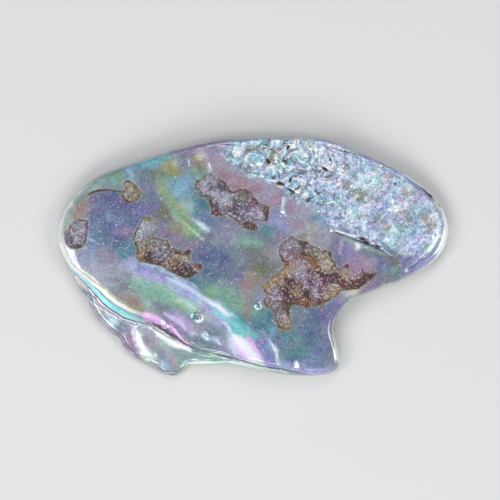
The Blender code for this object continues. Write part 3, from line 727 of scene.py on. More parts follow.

# %% Bands: readings along them, half width to the right and left (pixels), tint, strength
# The white bands, and most ice, foam and cream ones, are painted highlights.
BANDS = [
    ([(98, 181), (85, 190), (73, 203), (65, 217)], 3, 6, "mint", 1.8),
    ([(90, 182), (76, 194), (66, 209), (61, 224)], 1.6, 2.0, "foam", 1.0),
    ([(70, 205), (63, 215), (59, 226), (58, 238), (62, 251), (71, 263)], 3, 2.2, "white", 4.5),
    ([(71, 263), (83, 276), (98, 287)], 3, 3.0, "cream", 3.0),
    ([(96, 177), (112, 171), (130, 165), (150, 158), (172, 151)], 1.6, 1.8, "steel", 1.4),
    ([(180, 148), (211, 141), (240, 138.5), (290, 138), (325, 140), (360, 150)], 1.4, 1.6, "fog", 1.8),
    ([(160, 179), (164, 190), (169, 201), (177, 211), (187, 222), (195, 230)], 3.0, 4.0, "seafoam", 1.3),
    ([(166, 198), (174, 209), (183, 219), (192, 229)], 1.8, 3.0, "leaf", 2.0),
    ([(161, 183), (164, 192), (169, 201)], 1.6, 2.0, "tan", 1.6),
    ([(163, 193), (168, 199), (175, 206), (183, 214), (191, 223)], 2.2, 2.2, "lime", 4.0),
    ([(190, 218), (196, 222), (203, 228), (206, 232)], 1.4, 1.8, "ice", 1.0),
    ([(130, 263), (146, 268), (162, 275), (180, 285), (196, 295)], 4.2, 3.2, "lavender", 4.6),
    ([(150, 265), (166, 272), (182, 281), (196, 289)], 1.2, 0.9, "ice", 1.6),
    ([(124, 256), (136, 258), (150, 264)], 1.2, 1.2, "sky", 0.4),
    ([(150, 269), (172, 278), (190, 289), (206, 300)], 2.0, 2.0, "iris", 1.0),
    ([(172, 281), (188, 289), (203, 298), (216, 306)], 3.0, 1.8, "ice", 6.0),
    ([(208, 302), (215, 306), (222, 310), (229, 317)], 2.2, 1.7, "white", 10.0),
    ([(205, 303), (214, 312), (222, 320)], 2.0, 1.6, "lavender", 3.0),
    ([(216, 309), (226, 315), (236, 325), (246, 337)], 3.4, 3.2, "turquoise", 4.4),
    ([(224, 311), (234, 319), (244, 330), (254, 340)], 1.2, 2.4, "aqua", 2.6),
    ([(222, 321), (230, 328), (238, 337)], 1.6, 1.4, "ice", 1.6),
    ([(240, 338), (245, 345), (250, 352), (256, 359)], 2.6, 2.0, "white", 26.0),
    ([(247, 337), (254, 346), (260, 356)], 1.3, 1.6, "pink", 7.0),
    ([(235, 337), (239, 346), (245, 356)], 2.6, 1.6, "wisteria", 7.0),
    ([(232, 338), (236, 345)], 1.4, 1.2, "ice", 4.0),
    ([(259, 347), (265, 355), (270, 362)], 3.0, 3.4, "hyacinth", 7.0),
    ([(262, 350), (268, 358), (272, 363)], 1.6, 2.0, "violet", 3.0),
    ([(270, 342), (274, 350), (278, 358), (281, 363)], 1.0, 1.2, "ice", 3.0),
    ([(261, 333), (267, 340), (271, 350)], 1.8, 1.8, "lavender", 1.4),
    ([(296.5, 362), (297, 365), (298, 368)], 0.9, 0.9, "white", 6.0),
    ([(284, 366), (298, 369.5), (314, 370.5), (328, 369.5)], 2.0, 2.4, "lavender", 3.6),
    ([(140, 287), (156, 293), (172, 301)], 4.5, 4.5, "seafoam", 3.4),
    ([(156, 292), (170, 298), (182, 306)], 2.6, 2.6, "leaf", 0.8),
    ([(170, 299), (184, 305), (194, 310)], 2.6, 2.6, "foam", 0.9),
    ([(303, 221), (305, 231), (307, 242)], 1.2, 1.2, "cream", 0.9),
    ([(309, 221), (312, 231), (314, 241)], 1.1, 1.1, "salmon", 1.0),
    ([(296, 215), (297, 222), (299, 230)], 1.5, 1.5, "rose", 0.9),
    ([(316, 224), (318, 234)], 1.2, 1.2, "fog", 1.0),
    ([(172, 313), (180, 318), (190, 328)], 2.2, 3.0, "lavender", 2.6),
    ([(180, 319), (186, 324), (192, 331)], 2.2, 2.2, "wisteria", 6.0),
    ([(168, 317), (174, 325), (178, 332), (184, 338)], 1.2, 1.4, "orchid", 2.0),
    ([(176, 314), (187, 322), (194, 331)], 1.2, 1.6, "pink", 1.6),
    ([(192, 330), (198, 334)], 1.4, 1.4, "ice", 2.4),
    ([(205, 333), (210, 338)], 1.6, 1.6, "ice", 2.6),
    ([(214, 338), (222, 346)], 1.2, 2.0, "ice", 1.6),
    ([(147, 315), (153, 317), (159, 320), (164, 325)], 1.8, 2.0, "pink", 4.0),
    ([(172, 328), (177, 334), (181, 340), (190, 345)], 1.2, 1.4, "pink", 5.0),
    ([(139, 336), (141, 344), (146, 352), (153, 357)], 2.4, 2.4, "white", 3.0),
    ([(146, 346), (151, 352), (156, 358)], 1.4, 1.4, "foam", 3.0),
    ([(162, 356), (166, 362), (170, 367)], 0.9, 1.0, "sky", 2.0),
    ([(86, 296), (94, 312), (105, 325), (117, 334)], 1.0, 1.2, "blossom", 1.2),
    ([(186, 364), (198, 361.5), (214, 361.5), (226, 360)], 1.8, 1.6, "foam", 5.0),
    ([(186, 361), (196, 358), (206, 357)], 1.2, 1.2, "lavender", 1.6),
    ([(226, 360.5), (240, 363.5), (256, 367.5), (270, 370), (288, 373)], 1.3, 1.2, "foam", 6.0),
    ([(212, 353), (224, 355.5), (238, 359)], 0.9, 0.9, "foam", 3.0),
    ([(262, 370), (278, 372.5), (296, 374)], 0.9, 0.9, "sky", 3.0),
    ([(337, 322), (335, 334), (337, 347), (339.5, 358)], 1.6, 1.2, "white", 5.0),
    ([(344, 309), (354, 301), (368, 294.5), (386, 288), (402, 281)], 1.0, 1.2, "mint", 4.0),
    ([(404, 279), (418, 272), (430, 263), (441, 251)], 2.0, 2.4, "lavender", 2.4),
    ([(441, 254), (447, 240), (449.5, 226), (447, 212), (441, 203)], 2.4, 2.8, "white", 9.0),
    ([(441, 203), (430, 191), (415, 179), (398, 168), (380, 160)], 1.0, 1.5, "fog", 2.2),
    ([(380, 281), (389, 277), (396, 271), (398, 263), (393, 257)], 1.1, 1.1, "taupe", 1.8),
    ([(276, 338), (282, 333), (287, 331)], 0.9, 0.9, "olive", 3.0),
    ([(284, 199), (282, 207), (282, 215)], 0.9, 1.0, "ice", 2.0),
]


FADE, WORN_FADE = 2.6, 3
HAZE, HAZE_TINT = 0.09, tint(152, 158, 176)


def cloud_weights(places):
    """How much each cloud and band counts at each place: its strength divided by 1 + d^2 to
    the power FADE, where d is the distance from it in its own sizes. Gives the weights and
    the tints."""
    weights, tints = [np.full(len(places), 0.015)], [TINTS["grey"]]
    for across, down, length, breadth, lean, name, strength in CLOUDS:
        u, v = seen_from(places, (across, down), lean)
        weights.append(strength * (1 + (u / length) ** 2 + (v / breadth) ** 2) ** -FADE)
        tints.append(TINTS[name])
    for readings, right, left, name, strength in BANDS:
        distance, side, _ = nearest(places, smooth_curve(plan(*readings), 60))
        width = np.where(side > 0, left, right) * PIXEL
        weights.append(strength * (1 + (distance / width) ** 2) ** -FADE)
        tints.append(TINTS[name])
    return np.array(weights), np.array(tints)


def mixed(weights, tints):
    """The average of the tints, each counted by its weight."""
    return weights.T @ tints / weights.sum(0)[:, None]


streaked = (wandered(place, 2.4, 0.36, 71) + wandered(place, 0.9, 0.16, 73)
            + wandered(place, 0.42, 0.07, 75) - 2 * place)
nacre_and_highlight_tint = mixed(*cloud_weights(streaked))
nacre_and_highlight_tint = (1 - HAZE) * nacre_and_highlight_tint + HAZE * HAZE_TINT
print(len(CLOUDS), "clouds and", len(BANDS), "bands")

# %% [markdown]
# The scar's facets each lean their own way, so each throws back a colour of its own. The
# tints lie in small random patches, and some of the chips are dim. Others are painted white
# as glints, a painted highlight. The left part is turquoise and white with dark gaps between
# the facets, and the right part is paler, softer and more lavender. A few spots in it are
# stained olive or tan.

# %% Tints of the scar
LEFT_SCAR = {"sky": 1.5, "turquoise": 1.0, "ice": 1.9, "fog": 1.9, "lavender": 1.2, "steel": 0.7,
             "pewter": 0.4, "foam": 0.4, "olive": 0.25}
RIGHT_SCAR = {"lavender": 1.7, "ice": 1.4, "sky": 1.5, "wisteria": 0.9, "fog": 1.0, "cream": 0.3,
              "turquoise": 0.9, "pink": 0.25, "tan": 0.4, "foam": 0.2}
STAINS = [  # across, down, radius (pixels), tint, share
    (275, 155, 6, "gold", 0.7), (268, 163, 4, "olive", 0.7), (250, 152, 5, "olive", 0.7),
    (257, 148, 4, "tan", 0.7), (357, 197.5, 7, "olive", 0.85), (362, 194, 4, "olive", 0.7),
    (378, 220, 5, "olive", 0.7), (386, 228, 5, "tan", 0.7), (360, 215, 4, "olive", 0.7),
    (432, 224, 7, "tan", 0.7), (425, 218, 4, "gold", 0.7), (408, 192, 6, "tan", 0.7),
    (400, 200, 5, "pink", 0.45), (346, 168, 4, "olive", 0.7), (345, 186, 5, "tan", 0.7),
    (408, 222, 4, "olive", 0.7), (300, 192, 5, "olive", 0.7), (312, 146, 4, "cream", 0.7),
    (318, 153, 4, "tan", 0.7), (388, 176, 5, "tan", 0.7), (424, 246, 5, "seafoam", 0.7),
    (372, 202, 4, "tan", 0.7), (330, 176, 4, "olive", 0.7), (289, 172, 4, "teal", 0.6),
    (303, 152, 6, "turquoise", 0.4), (312, 158, 5, "sky", 0.4), (334, 205, 7, "ice", 0.75),
    (338, 199, 4, "turquoise", 0.5), (328, 198, 4, "turquoise", 0.4), (372, 212, 6, "sky", 0.4),
    (392, 205, 5, "ice", 0.4), (368, 166, 5, "turquoise", 0.35), (385, 176, 6, "wisteria", 0.4),
    (400, 188, 5, "pink", 0.35), (404, 205, 5, "wisteria", 0.4), (430, 205, 5, "ice", 0.5),
    (352, 214, 6, "ice", 0.35), (240, 150, 5, "ice", 0.35), (340, 170, 5, "pewter", 0.60),
    (300, 161, 5, "aqua", 0.35), (312, 212, 5, "sky", 0.35), (318, 215, 6, "lavender", 0.5),
    (415, 236, 7, "lavender", 0.4),
]


def scattered(places, names, size, seed):
    """Tints in random soft patches: each weighs its share times e to the 3.2 noise."""
    weights = np.array([names[name] * np.exp(3.2 * soft_noise(places, size, seed + k))
                        for k, name in enumerate(names)])
    return mixed(weights, np.array([TINTS[name] for name in names]))


def covered(under, top, amount):
    """One tint over another: amount is the share that the top one covers at each place."""
    return under * (1 - amount[:, None]) + top * amount[:, None]


rightness = smooth_step(place[:, 0] + 2.5 * soft_noise(place, 3.0, 81), 7.0, 16.0)
rough = wandered(turned, 0.6, 0.22, 83)
right_tint = scattered(rough, RIGHT_SCAR, 1.6, 230)
right_tint += 0.30 * (right_tint.mean(0) - right_tint)
chip_tint = covered(scattered(rough, LEFT_SCAR, 1.0, 200), right_tint, rightness)
glinting_chips = smooth_step(small_number, 0.68, 0.76) * smooth_step(big_number, 0.25, 0.45)
dim = smooth_step(small_number, 0.24, 0.12) + 0.7 * smooth_step(big_number, 0.16, 0.06)
vivid = 1 - 0.45 * rightness
chip_tint *= (0.92 + 0.28 * big_number + 0.22 * soft_noise(place, 0.5, 85))[:, None]
chip_tint *= (1 - 0.45 * np.clip(dim, 0, 1) * (vivid - 0.25))[:, None]
wavy = wandered(place, 0.8, 0.35, 87)
for across, down, radius, name, amount in STAINS:
    apart = np.hypot(*(wavy - plan((across, down))[0]).T) / (radius * PIXEL)
    chip_tint = covered(chip_tint, TINTS[name], amount * np.exp(-apart ** 4))
gaps = scar * calm * bell(big_border, 0.075) * smooth_step(soft_noise(place, 0.9, 89), 0.1, 0.4)
chip_tint = covered(chip_tint, tint(62, 62, 56), 0.85 * gaps)
# Painted glints: the glinting chips turned almost white, most of all on the left.
chip_tint = covered(chip_tint, TINTS["white"], 0.85 * vivid * glinting_chips)
blurred = patch(place, (316, 214), (3.4, 2.2))
nacre_and_highlight_tint = covered(nacre_and_highlight_tint, chip_tint, scar * (1 - 0.8 * blurred))
print(len(STAINS), "stains in the scar")

# %% [markdown]
# The worn islands are where the polish broke through into a duller layer: a greyish lilac,
# crystal-like floor, dark red-brown grains where old organic matter sits, and gold or olive
# margins. They get a palette of their own, laid out in the same way.

# %% Tints of the worn islands
WORN_TINTS = {name: tint(*screen) for name, screen in {
    "pearl": (132, 125, 142), "dusk": (104, 96, 124), "khaki": (124, 117, 100),
    "sand": (160, 150, 132), "frost": (142, 150, 166), "ochre": (146, 124, 82),
    "amber": (140, 92, 48), "rust": (118, 70, 52), "maroon": (98, 54, 62), "plum": (118, 66, 98),
    "umber": (74, 48, 32), "silver": (178, 180, 202), "shade": (94, 94, 112),
    "blush": (168, 142, 152), "ash": (118, 113, 114),
}.items()}
WORN = [  # across, down, length, breadth (pixels), lean, tint, strength
    (78, 232, 5, 8, 10, "pearl", 1.4), (78, 231, 4, 6, 10, "frost", 1.6), (70, 226, 4, 4, 30, "ash", 1.0),
    (69, 238, 2.5, 7, 10, "dusk", 1.0), (79, 247, 5, 1.6, 0, "umber", 1.0),
    (85, 236, 1.6, 7, 0, "dusk", 1.2), (132, 192, 6, 8, 40, "khaki", 1.2),
    (137, 193, 3, 4, 0, "ochre", 1.0), (131, 190, 5, 6, 20, "sand", 2.2),
    (147, 228, 9, 6, 20, "frost", 1.8), (140, 236, 6, 6, 0, "frost", 1.0),
    (138, 232, 3, 5, 0, "khaki", 0.8), (150, 220, 7, 2, -20, "ochre", 1.8),
    (156, 225, 2, 4, 0, "ochre", 1.2), (150, 244, 9, 5, 0, "khaki", 1.4),
    (161, 245, 8, 5, -20, "ash", 1.4), (138, 246, 4, 4, 0, "khaki", 1.2),
    (152, 250, 8, 2, -10, "ochre", 1.0), (140, 256, 4, 4, -30, "ochre", 2.4),
    (146, 259, 5, 3, -30, "umber", 2.0), (156, 259, 6, 4, -20, "dusk", 1.6),
    (160, 253, 6, 4, 0, "dusk", 1.2), (151, 254, 3, 4, 0, "umber", 1.2),
    (167, 268, 6, 3, -30, "khaki", 1.6), (170, 257, 4, 5, 0, "ash", 1.2),
    (180, 255, 4, 3, 0, "umber", 2.2), (190, 253, 4, 3, 20, "umber", 2.4),
    (185, 260, 5, 4, 0, "sand", 1.6), (176, 264, 6, 5, -30, "rust", 1.4),
    (178, 259, 4, 3, 0, "sand", 1.2), (172, 266, 4, 4, 0, "ochre", 1.4),
    (188, 271, 6, 4, 0, "umber", 1.6), (187, 268, 5, 4, 0, "dusk", 1.8),
    (184, 268, 6, 3, 0, "maroon", 1.6), (196, 268, 4, 3, 0, "ochre", 1.2),
    (193, 256, 3, 4, 0, "ochre", 0.9), (200, 267, 3, 3, 0, "rust", 2.0),
    (178, 274, 7, 2, -20, "umber", 2.0), (205, 187, 8, 6, 20, "pearl", 0.8),
    (215, 193, 8, 6, -30, "pearl", 0.8), (218, 203, 7, 5, 0, "ash", 1.0),
    (205, 184.5, 4, 2.5, 20, "silver", 3.0), (203, 191.5, 2, 2, 0, "silver", 2.0),
    (216, 194, 3, 3, 0, "silver", 3.0), (222, 202, 2.4, 3, 0, "silver", 3.0),
    (229, 204, 3, 3, 0, "silver", 2.4), (232, 196.5, 3, 1.6, 0, "silver", 2.4),
    (252, 215, 3, 2, 0, "silver", 3.0), (260, 216, 3, 3, 0, "silver", 3.0),
    (256, 209, 2, 2, -40, "silver", 2.4), (230, 217, 4, 1.5, -20, "silver", 2.4),
    (243, 213.5, 3, 2, 0, "silver", 1.6), (211, 187, 3, 3, 0, "shade", 2.4),
    (221, 189, 4, 4, -30, "shade", 2.4), (236, 205, 4, 3, 0, "shade", 2.0),
    (217, 207, 4, 3, 0, "shade", 2.0), (200, 184, 3, 5, 20, "ash", 1.0),
    (236, 200, 5, 4, 0, "khaki", 0.9), (240, 213, 10, 5, -20, "dusk", 2.2),
    (232, 210, 5, 5, 0, "maroon", 1.2), (246, 197, 6, 4, 0, "ash", 1.2),
    (256, 206, 4, 6, 40, "plum", 1.4), (258, 215, 6, 5, 0, "pearl", 1.4),
    (217, 216, 5, 2, -10, "rust", 2.2), (245, 228, 5, 2.4, -15, "rust", 2.4),
    (254, 229, 4, 2, -10, "umber", 2.0), (264, 212, 2, 7, 10, "umber", 1.0),
    (225, 209, 4, 5, 0, "pearl", 1.0), (290, 247, 6, 6, 0, "pearl", 1.6),
    (292, 252, 4, 4, 0, "maroon", 0.6), (285, 256, 5, 4, -20, "pearl", 1.4),
    (286, 264, 3.4, 3, 0, "amber", 3.0), (304, 245, 3, 3, 0, "umber", 1.6),
    (306, 250, 6, 5, 0, "ash", 1.4), (304, 256, 3, 3, 0, "rust", 1.8), (315, 253, 4, 5, 0, "khaki", 1.2),
    (315, 265, 3.6, 5, 20, "amber", 2.8), (299, 265, 8, 5, 0, "blush", 0.6),
    (300, 265, 6, 5, 0, "ash", 0.8), (294, 262, 5, 5, 0, "plum", 0.6), (326, 265, 6, 5, 0, "sand", 1.5),
    (328, 256, 5, 2.5, 0, "umber", 0.6), (324, 257, 3, 3, 0, "sand", 1.6),
    (333, 264, 2, 4, 0, "umber", 1.6), (300, 275, 9, 5, 0, "pearl", 0.8),
    (292, 271, 8, 4, 0, "sand", 0.9), (303, 277, 6, 4, 0, "pearl", 1.0),
    (308, 273, 3, 4, 0, "maroon", 1.0), (306, 286, 4, 4, 0, "pearl", 2.0),
    (297, 280, 5, 3, 0, "pearl", 0.8), (278, 276, 9, 5, 25, "ochre", 2.4),
    (268, 286, 6, 5, 30, "ochre", 2.4), (274, 283, 5, 4, 0, "sand", 1.0),
    (275, 294, 6, 6, 0, "pearl", 1.6), (280, 290, 5, 5, 0, "maroon", 0.7),
    (267, 301, 4, 4, 0, "ash", 1.4), (290, 283, 6, 4, 0, "maroon", 1.4),
    (287, 295, 4, 8, 0, "maroon", 1.8), (296, 291, 5, 5, 0, "ochre", 1.0),
    (293, 296, 3, 3, 0, "sand", 0.8), (300, 288, 7, 5, 0, "rust", 1.4),
    (296, 299, 7, 3, -10, "maroon", 1.6), (304, 301, 5, 4, -30, "amber", 2.4),
    (306, 295, 3, 4, 0, "umber", 1.8), (316, 292, 4, 7, 10, "pearl", 2.0),
    (310, 283, 3, 4, 0, "plum", 1.6), (321, 290, 3, 7, 0, "plum", 2.0),
    (319, 302, 6, 3, 0, "maroon", 1.8), (322, 276, 7, 3, -20, "maroon", 1.8),
    (332, 281, 6, 5, 0, "maroon", 1.6), (333, 287, 4, 3, 0, "sand", 1.2),
    (331, 295, 7, 4, 30, "ochre", 2.2), (325, 304, 5, 2, 35, "ochre", 1.6),
    (352, 285, 10, 4, 10, "maroon", 2.4), (366, 279, 8, 3, 25, "umber", 2.0),
    (344, 283, 6, 4, 0, "rust", 1.6), (345, 289, 9, 2, 5, "ochre", 1.6),
    (350, 274, 7, 4, 0, "blush", 2.6), (344, 275, 3, 6, 0, "ochre", 1.8),
    (345, 266, 4, 2, 20, "umber", 1.8), (362, 270, 2, 4, 0, "umber", 1.6),
    (370, 271, 4, 3, -20, "blush", 1.4), (356, 270, 5, 3, 0, "blush", 1.6),
    (277, 308, 5, 5, 0, "ash", 1.6), (282, 316, 5, 5, 0, "ash", 1.6), (285, 319, 3, 3, 0, "blush", 0.6),
    (280, 325, 3, 3, 0, "ochre", 2.2), (288, 326, 2.4, 6, 0, "ochre", 2.2),
    (289, 312, 2, 6, 0, "umber", 1.4), (283, 304, 5, 3, 0, "maroon", 1.0),
]


def worn_mix(places):
    """The worn islands' tints, mixed like the clouds, but by the power WORN_FADE. Each weight
    is then times e to 1.7 of a fine noise, so that the tints mingle in small patches."""
    weights, tints = [], []
    mottled = [np.exp(1.7 * soft_noise(places, 0.45, seed)) for seed in range(240, 247)]
    for across, down, length, breadth, lean, name, strength in WORN:
        u, v = seen_from(places, (across, down), lean)
        weights.append(strength * (1 + (u / length) ** 2 + (v / breadth) ** 2) ** -WORN_FADE
                       * mottled[len(weights) % len(mottled)])
        tints.append(WORN_TINTS[name])
    return mixed(np.array(weights), np.array(tints))


worn_tint = worn_mix(wandered(place, 0.7, 0.22, 91))
darkness = 1 - np.clip(worn_tint.mean(1) / 0.22, 0, 1)
print(len(WORN), "clouds in the worn islands")

# %% [markdown]
# ## Thin lines
#
# Fine dark lines run where layers meet: a red-brown one over the indigo field, the borders
# inside the worn islands, the crack below the scar and the hairlines along the lip. Along the
# lip they are partly painted shade, at the foot of its steps, and the arcs round a blister
# pearl are painted shade. Pale lines are painted highlights where sharp edges catch the light.
# They are too thin to colour point by point. Instead each point keeps its distance to the
# nearest line, counted in that line's own half widths, and the shader draws the line wherever
# that number is under 1. A distance changes evenly from point to point, so the line comes out
# sharp although the points are further apart than it is wide.

# %% Brown, dark and painted highlight lines: readings along them, half width (pixels)
BROWN_LINES = [
    ([(87, 196), (91, 192.6), (97, 191), (104, 190), (111, 190.2), (118, 191.4), (123, 192)], 1.6),
    ([(121.5, 195.5), (124.5, 199.5), (127.5, 203), (131, 204)], 1.3),
    ([(154, 236), (150, 237.5), (146, 239.5), (142.5, 242), (141, 246)], 0.9),
    ([(142, 248.5), (147, 249.5), (153, 251)], 0.6),
    ([(147, 252), (149.5, 257), (153, 261), (158, 263.5), (163, 262), (167, 260)], 0.8),
    ([(167, 260), (170, 264), (173, 270), (178, 275)], 0.9),
    ([(179, 251), (180, 258), (176, 262)], 0.7),
    ([(279, 250), (280.5, 257), (283, 262), (289, 263)], 0.9),
    ([(299.5, 241.5), (300.5, 248), (304, 253), (303, 260), (309, 262)], 0.7),
    ([(331, 253), (326, 258.5), (322, 262), (320, 270), (317, 276)], 0.7),
    ([(212, 203), (214, 209), (219, 213), (222, 216)], 0.6),
    ([(222, 146), (229, 145.6), (237, 145.6)], 0.5),
    ([(195.5, 190), (197, 183.5), (203, 179), (210, 175.3), (217, 180.3), (224, 184),
      (229, 191.7), (233, 194), (241, 191.2), (249, 194), (255, 201), (260, 206.5), (267, 207.5),
      (268, 213), (266.5, 221), (261, 222.6)], 1.2),
    ([(197, 192), (201, 197), (207, 199), (211, 205), (213, 214), (217, 217.5), (223, 216.5)], 0.8),
]
DARK_LINES = [
    ([(381, 247.5), (388, 252.5), (394, 257.5), (399, 262)], 0.6),
    ([(357, 241.3), (364, 243.4), (372, 246.5), (380, 250.5), (387, 255)], 1.2),
    ([(331, 232.4), (338, 234), (346, 236.6)], 0.5),
    ([(333, 234), (340, 236), (347, 238.5), (356, 241.5), (366, 244.5), (378, 249.5),
      (386, 255), (391, 259)], 0.7),
    ([(388, 256), (396, 260), (399, 267), (397, 274), (391, 280)], 0.65),
    ([(406, 270), (413, 266.5), (419, 262), (424, 256)], 0.6),
    # Painted shade: this line and the next run along the foot of the lip's step, below its pink ridge and
    # on along the bottom edge.
    ([(146, 321.5), (156, 325.3), (163, 329.6), (170, 334), (180, 340), (190, 346), (199, 350.5)], 1.35),
    ([(199, 350.5), (212, 353), (225, 355.5), (240, 360), (255, 364.3), (265, 366.8),
      (280, 368.6), (295, 371.8), (308, 374)], 0.9),
    ([(148, 360), (158, 367), (166, 371), (175, 371.4), (182, 368), (187, 362.5), (196, 361)], 0.4),
    # Painted shade on the blister pearl, in this line and the next.
    ([(190, 318), (190.5, 315), (195, 313.4), (199.5, 314.2)], 0.6),
    ([(196.5, 315.5), (198.8, 318), (197.5, 321)], 0.8), ([(190.5, 319), (194, 321)], 0.5),
    ([(262, 368.2), (272, 371), (284, 373), (298, 374.4)], 0.7),
    ([(218, 355.4), (226, 357), (234, 359.6)], 0.7),
    ([(282.8, 171.5), (284, 174), (283.5, 178.8), (282, 180)], 0.7),
    ([(284.5, 159.3), (287.2, 161.7), (285.7, 165.4), (283.3, 166.6)], 0.6),
    ([(266.5, 161), (268, 158.6), (271.5, 158), (274, 160), (273.6, 163.5), (270.5, 164.8)], 0.5),
    ([(244.3, 169), (249, 174), (255, 175), (259, 173.4)], 0.6),
    ([(288.2, 197), (293, 194), (296.7, 188.5)], 0.9), ([(305, 202), (310, 199.5), (313.8, 200.7)], 0.8),
    ([(315, 197.8), (318.7, 194), (323.5, 194.6)], 0.7),
    ([(320, 166.6), (323.5, 170), (322.3, 175)], 0.7),
    ([(329.6, 167.8), (331.6, 163), (329.6, 159.8)], 0.7),
    ([(311, 177.6), (315, 175), (318.7, 177.6)], 0.6),
    ([(340.6, 166.6), (344.3, 165), (349, 167.8), (349.6, 171)], 0.5),
    ([(298, 188.5), (301.6, 187.3)], 0.7),
    ([(265, 153), (270, 150.7), (274, 152)], 0.5), ([(251.6, 170), (246.7, 166.6)], 0.6),
    # Painted shade, a second line below the lip's pink ridge.
    ([(158, 324.6), (165, 328.4), (173, 333.4), (182, 339.4)], 0.5),
    ([(329.6, 147.6), (341.8, 151.5), (356.5, 154.4)], 0.8),
    ([(422.3, 187.3), (428.4, 194), (432, 198.3)], 0.9),
    ([(371, 159.5), (386, 165.5), (410, 175.5), (422, 186)], 0.4),
    ([(276, 173), (279, 176), (278, 179)], 0.6),
    ([(262, 166), (265, 169), (264, 172)], 0.5), ([(300, 171), (303, 174), (307, 173)], 0.5),
    ([(335, 176), (338, 173.5), (342, 174)], 0.5), ([(293, 152), (296, 149.5), (300, 151)], 0.5),
]
# Painted highlights, where sharp edges, rims and blister pearls catch the light.
HIGHLIGHT_LINES = [
    ([(156, 331), (162, 335.5), (170, 340), (180, 344.8), (191, 349.6)], 2.0),
    ([(148, 327), (152, 329), (157, 333), (156, 337)], 1.1),
    ([(146.5, 324.6), (149, 327), (153, 327.5)], 0.8),
    ([(189.8, 159), (188.9, 164), (191, 168)], 0.8), ([(238, 148), (243, 144.5), (249, 146)], 0.7),
    ([(232, 151), (234, 156), (238, 158)], 0.7), ([(258, 151), (263, 147.5), (268, 148.5)], 0.6),
    ([(290, 151), (294, 147), (299, 147.5)], 0.7), ([(299, 161), (304, 157.5), (309, 159)], 0.7),
    ([(295, 181), (300, 177), (305, 178)], 0.7), ([(318, 184), (323, 180), (329, 181)], 0.7),
    ([(270, 172), (274, 168.5), (278, 169)], 0.6), ([(255, 163), (259, 166), (263, 165)], 0.6),
    ([(326, 206), (332, 203), (337, 206)], 0.9), ([(344, 219), (349, 214), (353, 215)], 0.7),
    ([(362, 208), (367, 205), (372, 207)], 0.6), ([(424, 206), (430, 202), (434, 206)], 0.7),
    ([(150, 324), (156, 327.5), (163, 332), (171, 337)], 0.7),
    ([(404, 279.5), (424, 269), (439, 254), (446.5, 238), (449, 222), (445.5, 208), (438, 198)], 1.5),
    ([(438, 200), (428, 190), (414, 181), (402, 173)], 0.7),
    ([(344, 309.5), (352, 302), (366, 295), (384, 288), (400, 281.5)], 0.7),
    ([(334, 322), (333, 331), (335, 343), (339, 352), (338.5, 362)], 1.3),
    ([(271, 343), (274.5, 350), (278, 357), (280.5, 362)], 0.7),
    ([(297, 361), (297.6, 366)], 1.0),
    ([(200.5, 314.5), (203.2, 318), (201.5, 321.5), (197, 323)], 1.1),
    ([(205, 333), (209, 336.5)], 1.0), ([(215, 339), (222, 346)], 0.7),
    ([(255.5, 305), (255, 308), (258, 311)], 0.9), ([(259.5, 303.5), (261, 308), (260, 311)], 0.9),
    ([(174, 328), (178, 334), (183, 340), (190, 344.5)], 0.7),
    ([(160, 320), (164, 322.5), (167, 326)], 0.8),
    ([(62, 268), (74, 284), (90, 301), (100, 308), (113, 316), (132, 322), (144, 325)], 0.6),
    ([(228, 361.5), (240, 364.5), (256, 368), (270, 371)], 0.9),
    ([(190, 362.5), (203, 361.8), (214, 361.8)], 0.9),
    ([(213, 352), (222, 353.5), (232, 356)], 0.6),
    ([(283, 198), (282.5, 203), (282, 209)], 0.9), ([(281, 213), (283, 214.5)], 1.4),
    ([(357, 244.5), (359, 247)], 1.5),
    ([(208.5, 163), (210.5, 168)], 0.8),
]
print(len(BROWN_LINES), "brown,", len(DARK_LINES), "dark and", len(HIGHLIGHT_LINES), "pale lines")
